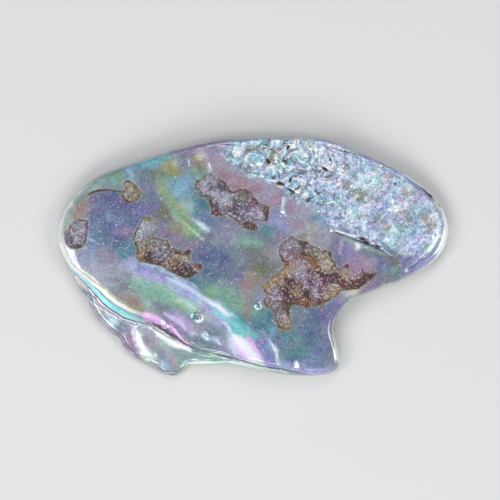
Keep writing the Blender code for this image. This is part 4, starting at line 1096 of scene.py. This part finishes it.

# %% [markdown]
# The brightest marks are painted highlights: the reflections along the folds, the lip and the
# rims, painted into the colour as soft ribbons and sparks without a hard border. Each is a
# painted highlight along a line, in a tint of its own, that is strongest on the line and fades
# away from it. Under a painted highlight the material is made less metallic, so that it stays
# bright from every side.

# %% Painted highlights: readings along them, half width (pixels), tint, strength
PAINTED_HIGHLIGHTS = [
    ([(60, 243), (63, 252), (70, 263), (83, 276), (96, 286.5)], 2.2, "white", 0.75),
    ([(235, 337), (242, 344), (249, 352), (256, 360)], 6.8, "wisteria", 0.46),
    ([(234, 337), (240, 342), (247, 349), (254, 357)], 4.8, "white", 0.98),
    ([(235, 344), (240, 351), (246, 357)], 1.5, "pink", 0.65),
    ([(251, 343), (256, 351), (260, 359)], 1.5, "pink", 0.80),
    ([(206, 300), (213, 304.5), (220, 309), (228, 317)], 2.3, "ice", 0.90),
    ([(212, 304), (220, 308.5), (228, 316)], 1.9, "white", 0.95),
    ([(168, 278), (176, 282), (184, 286.6), (192, 291.5), (205, 300)], 2.5, "ice", 0.80),
    ([(176, 283), (186, 288.5), (196, 294.5)], 1.4, "wisteria", 0.60),
    ([(216, 312), (226, 319), (238, 327), (244, 334)], 2.4, "turquoise", 0.70),
    ([(155.5, 332.5), (164, 338.2), (174, 343.6), (183, 347.6), (190, 349.8)], 2.5, "white", 0.98),
    ([(163, 341.5), (172, 346), (181, 349.4)], 1.0, "foam", 0.7),
    ([(146, 316.5), (153, 318.5), (159, 320.5), (164, 324.5)], 2.2, "pink", 0.86),
    ([(171, 323), (174, 329), (178, 334), (184, 339)], 1.1, "pink", 0.85),
    ([(165, 314), (174, 318), (181, 323), (187, 329)], 2.7, "wisteria", 0.86),
    ([(139.5, 338), (141.5, 344), (145, 350), (151, 356)], 2.5, "white", 0.92),
    ([(129, 351), (133, 354)], 1.4, "white", 0.60),
    ([(438, 258), (445.5, 243), (448.5, 228), (446.5, 213), (440, 202)], 4.2, "white", 0.98),
    ([(441, 203), (430, 191), (416, 180), (400, 170.5), (384, 162)], 2.1, "ice", 0.80),
    ([(186, 364), (198, 361.5), (214, 361.5), (226, 361)], 1.4, "foam", 0.60),
    ([(240, 363.4), (256, 367.5), (270, 370), (288, 373)], 1.2, "foam", 0.75),
    ([(198, 225), (203, 228), (208, 230)], 3.2, "ice", 0.62),
    ([(200, 226), (206, 229)], 1.6, "white", 0.5),
    ([(271.5, 343.5), (275, 351), (279, 359)], 1.0, "ice", 0.60),
    ([(336.5, 326), (336, 336), (338, 348), (340, 358)], 1.2, "white", 0.60),
    ([(205, 332.5), (209, 336.5)], 1.3, "ice", 0.70), ([(215, 338), (222, 346)], 2.0, "lavender", 0.60),
    ([(296.7, 361), (297.6, 367)], 1.5, "white", 0.85), ([(355, 244), (359, 247.5)], 2.0, "white", 0.75),
    ([(341.5, 238.5), (340.5, 246), (338.5, 256)], 1.3, "wisteria", 0.60),
    ([(352, 249), (350, 258), (347, 266)], 3.0, "rose", 0.30),
    ([(127, 170), (131, 174), (133, 177)], 2.0, "ice", 0.40),
    ([(163, 360), (165.5, 364), (169, 368)], 1.1, "sky", 0.60),
]


def highlight_strength(places):
    """How strong the painted highlights are at each place and in which tint. Each fades from its
    middle line by e to the minus (distance / half width) cubed, and together they cover
    1 - (1 - a)(1 - b)... of the ground."""
    left_over, weights = np.ones(len(places)), []
    for readings, half_width, name, strength in PAINTED_HIGHLIGHTS:
        distance, _, along = nearest(places, smooth_curve(plan(*readings), 60))
        wide = half_width * PIXEL * (1 - 0.55 * np.abs(2 * along - 1) ** 2)
        weights.append(strength * np.exp(-(distance / wide) ** 3))
        left_over *= 1 - weights[-1]
    tints = np.array([TINTS[name] for _, _, name, _ in PAINTED_HIGHLIGHTS])
    return 1 - left_over, mixed(np.array(weights) + 1e-9, tints)


NO_LINE = 20.0


def line_distance(places, lines):
    """Distance to the nearest of some lines, in that line's own half widths. Each line
    thins out towards both of its ends."""
    closest = np.full(len(places), NO_LINE)
    for readings, half_width in lines:
        distance, _, along = nearest(places, smooth_curve(plan(*readings), 80))
        thick = half_width * PIXEL * (1 - 0.65 * np.abs(2 * along - 1) ** 3)
        closest = np.minimum(closest, distance / thick)
    return closest


speckled = (0.30 + 1.25 * patch(place, (118, 225), (10.0, 6.0))
            + 0.35 * patch(place, (220, 255), (9.0, 7.0))
            + 0.50 * patch(place, (252, 182), (5.0, 2.5)))
speckled *= (1 - scar) * (share <= 0)
trembling = wandered(place, 0.5, 0.05, 95)
painted_highlight, painted_highlight_tint = highlight_strength(wandered(place, 1.1, 0.16, 97))
brown_line = line_distance(trembling, BROWN_LINES)
dark_line = line_distance(trembling, DARK_LINES)
highlight_line = line_distance(trembling, HIGHLIGHT_LINES)
lip_colour = smooth_step(-place[:, 0], 17.0, 21.0) * (share > 0) * smooth_step(1 - share, 0.0, 0.02)
side = 1 - smooth_step(edge, 0.05, 0.45)
print(len(PAINTED_HIGHLIGHTS), "glows, covering up to", round(float(painted_highlight.max()), 2))

# %% [markdown]
# The underside was never polished as finely. It is the shell's own inner face: silvery
# nacre whose faint green and pink bands follow the growth lines, wide arcs about a point
# beyond the upper left end.

# %% Tints of the underside
GROWTH_CENTRE = (-46.0, 34.0)
UNDER_BAND_WIDTH = 5.2
RIPPLE_LENGTH = 1.9
UNDER_BANDS = ["lilac", "mint", "cream", "sky", "rose", "lilac", "seafoam", "cream"]

growth = np.hypot(*(wandered(under_place, 6.0, 1.2, 101) - GROWTH_CENTRE).T)
ripple = 0.5 + 0.5 * np.sin(growth / RIPPLE_LENGTH + 1.4 * soft_noise(under_place, 9.0, 103))
table = np.array([TINTS[name] for name in UNDER_BANDS])
step_along = (growth / UNDER_BAND_WIDTH) % len(table)
low_step = step_along.astype(int)
blend = smooth_step(step_along - low_step, 0.0, 1.0)
under_tint = covered(table[low_step], table[(low_step + 1) % len(table)], blend)
under_tint *= (0.86 + 0.20 * ripple)[:, None]
under_height += 0.02 * (ripple - 0.5) * smooth_step(under_height, 0.0, 0.3)
print("underside:", len(UNDER_BANDS), "bands of tints in turn")

# %% Build the skin
TOP_ROWS, UNDER_ROWS = TOP_RINGS + 1, UNDER_RINGS + 1
fold_back = np.where(sector > SECTORS // 2, SECTORS - sector, sector)
top_id = np.arange(TOP_ROWS * SECTORS).reshape(TOP_ROWS, SECTORS)
top_id[0] = fold_back
under_id = TOP_ROWS * SECTORS + np.arange(UNDER_ROWS * SECTORS).reshape(UNDER_ROWS, SECTORS)
under_id[0] = under_id[0][fold_back]
under_id[-1] = top_id[-1]


def quads(ids, upward):
    """Four-cornered faces between neighbouring rings and sectors, facing up or down."""
    inner, outer = ids[:-1], ids[1:]
    faces = np.stack([inner, outer, np.roll(outer, -1, 1), np.roll(inner, -1, 1)], -1)
    return (faces if upward else faces[..., ::-1]).reshape(-1, 4)


faces = np.vstack([quads(top_id, True), quads(under_id, False)])
points = np.column_stack([np.vstack([place, under_place]), np.r_[height, under_height]]) * MM
used, faces = np.unique(faces, return_inverse=True)
faces = faces.reshape(-1, 4)

mesh = bpy.data.meshes.new("shell")
mesh.from_pydata(points[used].tolist(), [], faces.tolist())
mesh.update()
mesh.shade_smooth()
print(len(mesh.vertices), "points,", 2 * len(mesh.polygons), "triangles")

# %% Keep the colours and distances on the points
FAR_FROM_ISLES = -5
FIELDS = {  # name: values on the top face, values on the underside
    "isle": (isle, FAR_FROM_ISLES), "scar": (scar, 0), "pit": (pits, 0), "lip": (share, 0),
    "lip_colour": (lip_colour, 0), "brown_line": (brown_line, NO_LINE),
    "dark_line": (dark_line, NO_LINE), "highlight_line": (highlight_line, NO_LINE),
    "side": (side, 1 - smooth_step(under_edge, 0.1, 0.8)), "painted_highlight": (painted_highlight, 0),
    "grainy": (darkness, 0), "cracked": (scar * calm, 0), "specked": (speckled, 0),
}
for name, (above, below) in FIELDS.items():
    values = np.r_[above, below * np.ones(len(under_place))][used]
    field = mesh.attributes.new(name, "FLOAT", "POINT")
    field.data.foreach_set("value", values.astype(np.float32))
for name, above in {"tint": nacre_and_highlight_tint, "worn_tint": worn_tint, "painted_highlight_tint": painted_highlight_tint}.items():
    colours = np.vstack([above, under_tint])[used]
    rgba = np.column_stack([np.clip(colours, 0, 1), np.ones(len(colours))])
    field = mesh.attributes.new(name, "FLOAT_COLOR", "POINT")
    field.data.foreach_set("color", rgba.astype(np.float32).ravel())
print(len(mesh.attributes), "attributes on", len(mesh.vertices), "points")

shell = bpy.data.objects.new("polished_shell", mesh)
bpy.context.scene.collection.objects.link(shell)

# %% [markdown]
# ## Finishes as node groups
#
# Four effects are used more than once, so each is a group with its own inputs. `shimmer`
# shifts a colour's hue and lightness a little from place to place, as the thickness of the
# layers does. `facets` gives every small cell a random number and finds the cracks between
# cells. `grains` scatters dark grains. `drawn line` turns a distance into a thin line.

# %% Helpers for nodes
def socket(tree, name, kind, value=None, output=False):
    """An input or output of a node group."""
    made = tree.interface.new_socket(name, in_out="OUTPUT" if output else "INPUT",
                                     socket_type="NodeSocket" + kind)
    if value is not None:
        made.default_value = value
    return made


def node(tree, kind, inputs=(), **settings):
    """A node with its settings, and its inputs as plain values or as sockets to link from."""
    made = tree.nodes.new("ShaderNode" + kind)
    for name, value in settings.items():
        setattr(made, name, value)
    for key, value in dict(inputs).items():
        if isinstance(value, bpy.types.NodeSocket):
            tree.links.new(value, made.inputs[key])
        else:
            made.inputs[key].default_value = value
    return made


def calc(tree, operation, *values):
    """A Math node's result."""
    return node(tree, "Math", dict(enumerate(values)), operation=operation).outputs[0]


def stepped(tree, value, low, high, start=0.0, end=1.0):
    """A smooth step: start below low, end above high."""
    return node(tree, "MapRange", {0: value, 1: low, 2: high, 3: start, 4: end},
                interpolation_type="SMOOTHSTEP").outputs[0]


def blended(tree, share, first, second, kind="MIX"):
    """Two colours mixed by a share."""
    made = node(tree, "Mix", data_type="RGBA", blend_type=kind)
    for key, value in ((0, share), (6, first), (7, second)):
        if isinstance(value, bpy.types.NodeSocket):
            tree.links.new(value, made.inputs[key])
        elif key == 0:
            made.inputs[key].default_value = value
        else:
            made.inputs[key].default_value = (*value[:3], 1)
    return made.outputs[2]


def new_group(name, inputs, outputs):
    """A node group with named inputs (kind and first value) and outputs (kind)."""
    tree = bpy.data.node_groups.new(name, "ShaderNodeTree")
    for label, (kind, value) in inputs.items():
        socket(tree, label, kind, value)
    for label, kind in outputs.items():
        socket(tree, label, kind, output=True)
    entry = tree.nodes.new("NodeGroupInput").outputs
    leave = tree.nodes.new("NodeGroupOutput").inputs
    return tree, entry, leave


def object_place(tree):
    """The place on the piece, in metres."""
    return node(tree, "TexCoord").outputs["Object"]


def stretched(tree, vector, factors):
    """A vector whose three parts are each multiplied by a factor of their own."""
    return node(tree, "VectorMath", {0: vector, 1: factors}, operation="MULTIPLY").outputs[0]


# %% Group: shimmer
shimmer, given, result = new_group(
    "shimmer", {"Colour": ("Color", (0.5, 0.5, 0.5, 1)), "Cells per metre": ("Float", 500.0),
                "Strength": ("Float", 1.0)}, {"Colour": "Color"})
spot = object_place(shimmer)
hue_noise = node(shimmer, "TexNoise", {"Vector": spot, "Scale": given["Cells per metre"], "Detail": 3.0})
value_noise = node(shimmer, "TexNoise", {
    "Vector": spot, "Scale": calc(shimmer, "MULTIPLY", given["Cells per metre"], 1.7), "Detail": 4.0,
    "Distortion": 0.6})
centred = [calc(shimmer, "SUBTRACT", made.outputs[0], 0.5) for made in (hue_noise, value_noise)]
hue, value = [calc(shimmer, "MULTIPLY", made, given["Strength"]) for made in centred]
shifted = node(shimmer, "HueSaturation", {
    "Hue": calc(shimmer, "MULTIPLY_ADD", hue, 0.22, 0.5),
    "Saturation": calc(shimmer, "MULTIPLY_ADD", value, -0.6, 1.0),
    "Value": calc(shimmer, "MULTIPLY_ADD", value, 0.7, 1.0), "Color": given["Colour"]})
shimmer.links.new(shifted.outputs[0], result["Colour"])

# %% Group: facets
facets, given, result = new_group(
    "facets", {"Cells per metre": ("Float", 1500.0)},
    {"Number": "Float", "Crack": "Float", "Height": "Float"})
spot = object_place(facets)
warp = node(facets, "TexNoise", {"Vector": spot, "Scale": 1800.0, "Detail": 2.0})
pushed = stretched(facets, warp.outputs["Color"], (0.0004, 0.0004, 0.0004))
bent = node(facets, "VectorMath", {0: spot, 1: pushed}, operation="ADD")
cells = node(facets, "TexVoronoi", {"Vector": bent.outputs[0], "Scale": given["Cells per metre"]})
border = node(facets, "TexVoronoi", {"Vector": bent.outputs[0], "Scale": given["Cells per metre"]},
              feature="DISTANCE_TO_EDGE")
number = node(facets, "SeparateColor", {0: cells.outputs["Color"]})
facets.links.new(number.outputs[0], result["Number"])
facets.links.new(stepped(facets, border.outputs["Distance"], 0.0, 0.10, 1.0, 0.0), result["Crack"])
facets.links.new(calc(facets, "MULTIPLY_ADD", cells.outputs["Distance"], -0.6, number.outputs[1]),
                 result["Height"])

# %% Group: grains
grains, given, result = new_group(
    "grains", {"Grains per metre": ("Float", 2500.0), "Cover": ("Float", 0.5)}, {"Mask": "Float"})
spot = object_place(grains)
lumps = node(grains, "TexNoise", {"Vector": spot, "Scale": given["Grains per metre"], "Detail": 5.0,
                                  "Roughness": 0.65})
limit = calc(grains, "MULTIPLY_ADD", given["Cover"], -0.34, 0.68)
over_limit = calc(grains, "SUBTRACT", lumps.outputs[0], limit)
grains.links.new(stepped(grains, over_limit, -0.03, 0.05), result["Mask"])

# %% Group: drawn line
drawn_line, given, result = new_group(
    "drawn line", {"Distance": ("Float", 5.0), "Wobble": ("Float", 0.5)}, {"Mask": "Float"})
tremble = node(drawn_line, "TexNoise", {"Vector": object_place(drawn_line), "Scale": 2600.0, "Detail": 3.0})
push = calc(drawn_line, "MULTIPLY", calc(drawn_line, "SUBTRACT", tremble.outputs[0], 0.5),
            given["Wobble"])
moved = calc(drawn_line, "ADD", calc(drawn_line, "ABSOLUTE", given["Distance"]), push)
drawn_line.links.new(stepped(drawn_line, moved, 0.55, 1.15, 1.0, 0.0), result["Mask"])
print("groups:", [group.name for group in bpy.data.node_groups])

# %% [markdown]
# ## The material
#
# One material covers the piece, and the kept fields say where each effect applies: the
# nacre's tint with its painted highlights first, then the lip's layers with their painted
# highlights and shade, the scar, the worn islands, the lines and last the wall's edge. Nacre
# throws light back from under its surface and has a polished skin, so it is partly metallic,
# with a clear coat. The worn islands are dull and rough.

# %% Colours of the material
nacre = bpy.data.materials.new("nacre")
nacre.use_nodes = True
tree = nacre.node_tree
shader = tree.nodes["Principled BSDF"]


def use(name, **inputs):
    """One of the node groups, placed in the material."""
    made = tree.nodes.new("ShaderNodeGroup")
    made.node_tree = bpy.data.node_groups[name]
    for key, value in inputs.items():
        key = key.replace("_", " ")
        if isinstance(value, bpy.types.NodeSocket):
            tree.links.new(value, made.inputs[key])
        else:
            made.inputs[key].default_value = value
    return made.outputs


def kept(name):
    """A field kept on the points: a number, or a colour for the tints."""
    outputs = node(tree, "Attribute", attribute_name=name).outputs
    return outputs["Color"] if name.endswith("tint") else outputs["Fac"]


def ramp(value, stops):
    """Colours along a value: (position, screen colour) pairs, blended between."""
    made = node(tree, "ValToRGB", {0: value})
    points = made.color_ramp.elements
    for position, _ in stops[1:-1]:
        points.new(position)
    for point, (position, screen) in zip(points, stops):
        point.position = position
        point.color = (*tint(*screen), 1)
    return made.outputs[0]


def noise(scale, detail, **more):
    """Soft noise from 0 to 1: lumps per metre, finer layers, and any other inputs. It lies on
    the piece unless another Vector is given."""
    if "Vector" not in more:
        more["Vector"] = object_place(tree)
    return node(tree, "TexNoise", {"Scale": scale, "Detail": detail, **more}).outputs[0]


def laid(under, top, mask, most):
    """A colour laid over another wherever a mask is above 0, with most as its greatest share."""
    return blended(tree, calc(tree, "MULTIPLY", mask, most), under, top)


isle_field, scar_field, share_field = kept("isle"), kept("scar"), kept("lip")

# The kept tint: the nacre's colours with the painted highlights of the clouds, bands and scar chips.
colour = kept("tint")
for per_metre, strength in ((420.0, 1.0), (1500.0, 0.75), (3600.0, 0.75)):
    colour = use("shimmer", Colour=colour, Cells_per_metre=per_metre, Strength=strength)["Colour"]
mist = noise(520.0, 9.0, Roughness=0.78, Distortion=0.4)
colour = laid(colour, tint(206, 210, 226), stepped(tree, mist, 0.52, 0.74), 0.34)
colour = laid(colour, tint(70, 84, 104), stepped(tree, mist, 0.47, 0.30), 0.34)

turned_place = node(tree, "VectorRotate", {"Vector": object_place(tree), "Angle": 0.75},
                    rotation_type="Z_AXIS").outputs[0]
scratches = noise(1.0, 2.0, Vector=stretched(tree, turned_place, (900.0, 5200.0, 900.0)))
colour = laid(colour, tint(214, 218, 236), stepped(tree, scratches, 0.62, 0.76), 0.34)

grit = noise(3300.0, 1.0)
colour = laid(colour, tint(212, 218, 236), stepped(tree, grit, 0.52, 0.74), 0.22)
colour = laid(colour, tint(66, 78, 104), stepped(tree, grit, 0.48, 0.26), 0.20)

# The lip's bands: the layers' own tints, with painted highlights in the near-white bands and painted shade
# in the dark lines at its steps.
layers = ramp(share_field, [
    (0.0, (128, 132, 92)), (0.05, (112, 108, 70)), (0.10, (224, 226, 200)), (0.20, (252, 244, 250)),
    (0.32, (250, 252, 252)), (0.37, (214, 236, 236)), (0.395, (118, 150, 154)),
    (0.43, (160, 228, 228)), (0.52, (134, 228, 226)), (0.64, (158, 233, 235)),
    (0.74, (206, 240, 244)), (0.79, (62, 80, 92)), (0.83, (120, 128, 140)),
    (0.87, (240, 222, 242)), (0.94, (240, 236, 242)), (0.97, (82, 84, 96)), (1.0, (150, 150, 160))])
layers = use("shimmer", Colour=layers, Cells_per_metre=700.0, Strength=0.8)["Colour"]
colour = blended(tree, kept("lip_colour"), colour, layers)
# Painted highlights: the kept ribbons and sparks laid over the colour, a little broken by the mist.
painted_highlight_colour = use("shimmer", Colour=kept("painted_highlight_tint"), Cells_per_metre=1500.0, Strength=0.35)["Colour"]
painted_highlight_mask = calc(tree, "MULTIPLY", kept("painted_highlight"), stepped(tree, mist, 0.30, 0.55, 0.70, 1.0))
colour = blended(tree, painted_highlight_mask, colour, painted_highlight_colour)
print(len(tree.nodes), "nodes for the polished nacre")

# %% The scar's crystals
crystals = use("facets", Cells_per_metre=1900.0)
fine_crystals = use("facets", Cells_per_metre=3400.0)
lightness = calc(tree, "MULTIPLY_ADD", crystals["Number"], 0.30, 0.92)
greys = node(tree, "CombineColor", dict.fromkeys((0, 1, 2), lightness)).outputs[0]
scar_colour = blended(tree, 1.0, colour, greys, "MULTIPLY")
scar_colour = use("shimmer", Colour=scar_colour, Cells_per_metre=1500.0, Strength=1.0)["Colour"]
# Painted glints on a few of the fine crystals.
crystal_glint = stepped(tree, fine_crystals["Number"], 0.80, 0.95)
scar_colour = laid(scar_colour, tint(242, 250, 255), crystal_glint, 0.50)
dusky = stepped(tree, fine_crystals["Number"], 0.24, 0.06)
scar_colour = laid(scar_colour, tint(96, 108, 136), dusky, 0.44)
colour = blended(tree, scar_field, colour, scar_colour)

cracks = stepped(tree, use("facets", Cells_per_metre=950.0)["Crack"], 0.55, 0.95)
cracks = calc(tree, "MULTIPLY", cracks, stepped(tree, noise(800.0, 1.0), 0.56, 0.62))
cracks = calc(tree, "MULTIPLY", cracks, kept("cracked"))
colour = laid(colour, tint(48, 44, 38), cracks, 0.85)
colour = blended(tree, stepped(tree, kept("pit"), 0.05, 0.20), colour, tint(46, 40, 30))
print(len(tree.nodes), "nodes with the scar")

# %% The worn islands
ragged = calc(tree, "SUBTRACT", noise(1900.0, 5.0, Roughness=0.7), 0.5)
isle_edge = calc(tree, "MULTIPLY_ADD", ragged, 1.15, isle_field)
isle_mask = stepped(tree, isle_edge, -0.12, 0.12)
worn = use("shimmer", Colour=kept("worn_tint"), Cells_per_metre=1300.0, Strength=1.3)["Colour"]
small_crystals = use("facets", Cells_per_metre=4600.0)
pale = blended(tree, 0.66, kept("worn_tint"), tint(226, 216, 226))
worn = laid(worn, pale, stepped(tree, small_crystals["Number"], 0.66, 0.92), 0.75)
worn = laid(worn, tint(78, 56, 58), stepped(tree, small_crystals["Number"], 0.34, 0.08), 0.42)
dark_grains = use("grains", Grains_per_metre=3300.0,
                  Cover=calc(tree, "MULTIPLY_ADD", kept("grainy"), 0.62, 0.14))["Mask"]
worn = laid(worn, tint(60, 32, 32), dark_grains, 0.84)
worn = laid(worn, tint(92, 76, 72), stepped(tree, isle_edge, 0.15, 0.75, 1.0, 0.0), 0.32)
uneven = noise(380.0, 3.0)
margin = stepped(tree, isle_edge, 0.02, 0.34, 1.0, 0.0)
worn = laid(worn, tint(132, 114, 72), margin, stepped(tree, uneven, 0.60, 0.40, 0.10, 0.55))
rim_distance = calc(tree, "DIVIDE", calc(tree, "SUBTRACT", isle_edge, 0.16), 0.13)
rim_line = use("drawn line", Distance=rim_distance, Wobble=2.6)["Mask"]
worn = laid(worn, tint(66, 44, 34), rim_line, stepped(tree, uneven, 0.44, 0.62, 0.06, 0.90))
colour = blended(tree, isle_mask, colour, worn)

halo = calc(tree, "MULTIPLY", stepped(tree, isle_field, -0.55, 0.0),
            calc(tree, "SUBTRACT", 1.0, isle_mask))
colour = laid(colour, tint(150, 144, 100), halo, stepped(tree, uneven, 0.42, 0.66, 0.0, 0.50))
loose = use("grains", Grains_per_metre=3000.0, Cover=0.30)["Mask"]
colour = laid(colour, tint(112, 84, 60), calc(tree, "MULTIPLY", halo, loose), 0.55)
print(len(tree.nodes), "nodes with the worn islands")

# %% Lines, glints and the wall's edge
brown = use("drawn line", Distance=kept("brown_line"), Wobble=0.8)["Mask"]
colour = laid(colour, tint(90, 60, 48), brown, stepped(tree, uneven, 0.36, 0.56, 0.45, 0.90))
dark = use("drawn line", Distance=kept("dark_line"), Wobble=0.8)["Mask"]
colour = laid(colour, tint(58, 56, 54), dark, 0.80)
# Painted highlights drawn as thin near-white lines.
highlight_line_mask = use("drawn line", Distance=kept("highlight_line"), Wobble=0.9)["Mask"]
colour = laid(colour, tint(250, 254, 254), highlight_line_mask, 0.90)

specks = node(tree, "TexVoronoi", {"Vector": object_place(tree), "Scale": 2500.0})
chance = node(tree, "SeparateColor", {0: specks.outputs["Color"]}).outputs
radius = calc(tree, "MULTIPLY_ADD", chance[1], 0.18, 0.08)
beyond = calc(tree, "SUBTRACT", specks.outputs["Distance"], radius)
round_spot = stepped(tree, beyond, 0.0, 0.09, 1.0, 0.0)
often = calc(tree, "MULTIPLY", kept("specked"), stepped(tree, uneven, 0.40, 0.62, 0.22, 0.62))
glint = calc(tree, "MULTIPLY", round_spot, calc(tree, "LESS_THAN", chance[0], often))
colour = laid(colour, tint(242, 244, 252), glint, calc(tree, "MULTIPLY_ADD", chance[2], 0.45, 0.33))

wall_place = stretched(tree, object_place(tree), (180.0, 180.0, 3200.0))
wall = ramp(noise(1.0, 4.0, Vector=wall_place), [
    (0.3, (118, 96, 66)), (0.42, (168, 150, 118)), (0.5, (214, 208, 190)), (0.58, (170, 176, 160)),
    (0.68, (132, 108, 80))])
colour = laid(colour, wall, kept("side"), 0.55)
tree.links.new(colour, shader.inputs["Base Color"])
print(len(tree.nodes), "nodes with the lines and the wall's edge")

# %% Gloss and fine relief
dull = calc(tree, "MAXIMUM", stepped(tree, isle_field, -0.35, -0.05),
            calc(tree, "MULTIPLY", scar_field, 0.25))
tree.links.new(stepped(tree, dull, 0.0, 1.0, 0.24, 0.56), shader.inputs["Roughness"])
# Less metallic under the painted highlights, so that they stay bright from every side.
metallic = calc(tree, "MULTIPLY", stepped(tree, dull, 0.0, 1.0, 0.28, 0.0),
                calc(tree, "SUBTRACT", 1.0, painted_highlight_mask))
tree.links.new(metallic, shader.inputs["Metallic"])
tree.links.new(stepped(tree, dull, 0.0, 1.0, 0.55, 0.08), shader.inputs["Coat Weight"])
shader.inputs["Coat Roughness"].default_value = 0.10
shader.inputs["Specular IOR Level"].default_value = 0.5

scar_relief = calc(tree, "MULTIPLY_ADD", crystals["Height"], 0.022,
                   calc(tree, "MULTIPLY", fine_crystals["Height"], 0.008))
worn_relief = calc(tree, "MULTIPLY_ADD", dark_grains, -0.04,
                   calc(tree, "MULTIPLY", small_crystals["Height"], 0.022))
relief_height = calc(tree, "ADD", calc(tree, "MULTIPLY", scar_field, scar_relief),
                     calc(tree, "MULTIPLY", isle_mask, worn_relief))
line_relief = calc(tree, "MULTIPLY", calc(tree, "MAXIMUM", brown, dark), -0.02)
relief_height = calc(tree, "ADD", relief_height, line_relief)
bump = node(tree, "Bump", {"Height": relief_height, "Distance": MM, "Strength": 1.0})
tree.links.new(bump.outputs[0], shader.inputs["Normal"])
shell.data.materials.append(nacre)
print("material", nacre.name, "with", len(tree.nodes), "nodes")

# %% [markdown]
# ## The studio
#
# The photograph was lit softly from several sides. Four large lamps round the piece throw
# wide, even reflections that the polished folds turn into bright ribbons, on top of the
# highlights painted into the colour, and a pale world fills the shadows. The floor is a plain
# pale sheet.

# %% Floor, lamps and world
floor_mesh = bpy.data.meshes.new("floor")
reach = 1.2
floor_mesh.from_pydata([(-reach, -reach, 0), (reach, -reach, 0), (reach, reach, 0), (-reach, reach, 0)],
                       [], [(0, 1, 2, 3)])
floor = bpy.data.objects.new("floor", floor_mesh)
bpy.context.scene.collection.objects.link(floor)
paper = bpy.data.materials.new("paper")
paper.use_nodes = True
finish = paper.node_tree.nodes["Principled BSDF"].inputs
finish["Base Color"].default_value = (0.74, 0.74, 0.73, 1)
finish["Roughness"].default_value = 0.9
floor_mesh.materials.append(paper)

LAMPS = {  # direction round the piece and height (degrees), distance, size (m), power (W)
    "left_lamp": (200, 46, 0.50, 0.24, 0.88),
    "front_lamp": (262, 38, 0.50, 0.22, 0.84),
    "right_lamp": (350, 36, 0.55, 0.22, 0.90),
    "back_lamp": (85, 50, 0.55, 0.26, 0.55),
}
for name, (round_by, up_by, away, size, power) in LAMPS.items():
    lamp_data = bpy.data.lights.new(name, "AREA")
    lamp_data.size = size
    lamp_data.energy = power
    lamp = bpy.data.objects.new(name, lamp_data)
    turn, rise = math.radians(round_by), math.radians(up_by)
    lamp.location = (away * math.cos(rise) * math.cos(turn), away * math.cos(rise) * math.sin(turn),
                     away * math.sin(rise))
    lamp.rotation_euler = (math.radians(90) - rise, 0, turn + math.radians(90))
    bpy.context.scene.collection.objects.link(lamp)

world = bpy.data.worlds.new("studio")
world.use_nodes = True
backdrop = world.node_tree.nodes["Background"].inputs
backdrop["Color"].default_value = (0.86, 0.92, 1.0, 1)
backdrop["Strength"].default_value = 0.31
bpy.context.scene.world = world
bpy.context.scene.view_settings.view_transform = "Standard"
print("lamps:", list(LAMPS))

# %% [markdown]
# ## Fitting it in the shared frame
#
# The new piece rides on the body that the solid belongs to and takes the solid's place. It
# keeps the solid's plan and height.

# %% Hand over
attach(shell, "root")
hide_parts("abalone_shell")
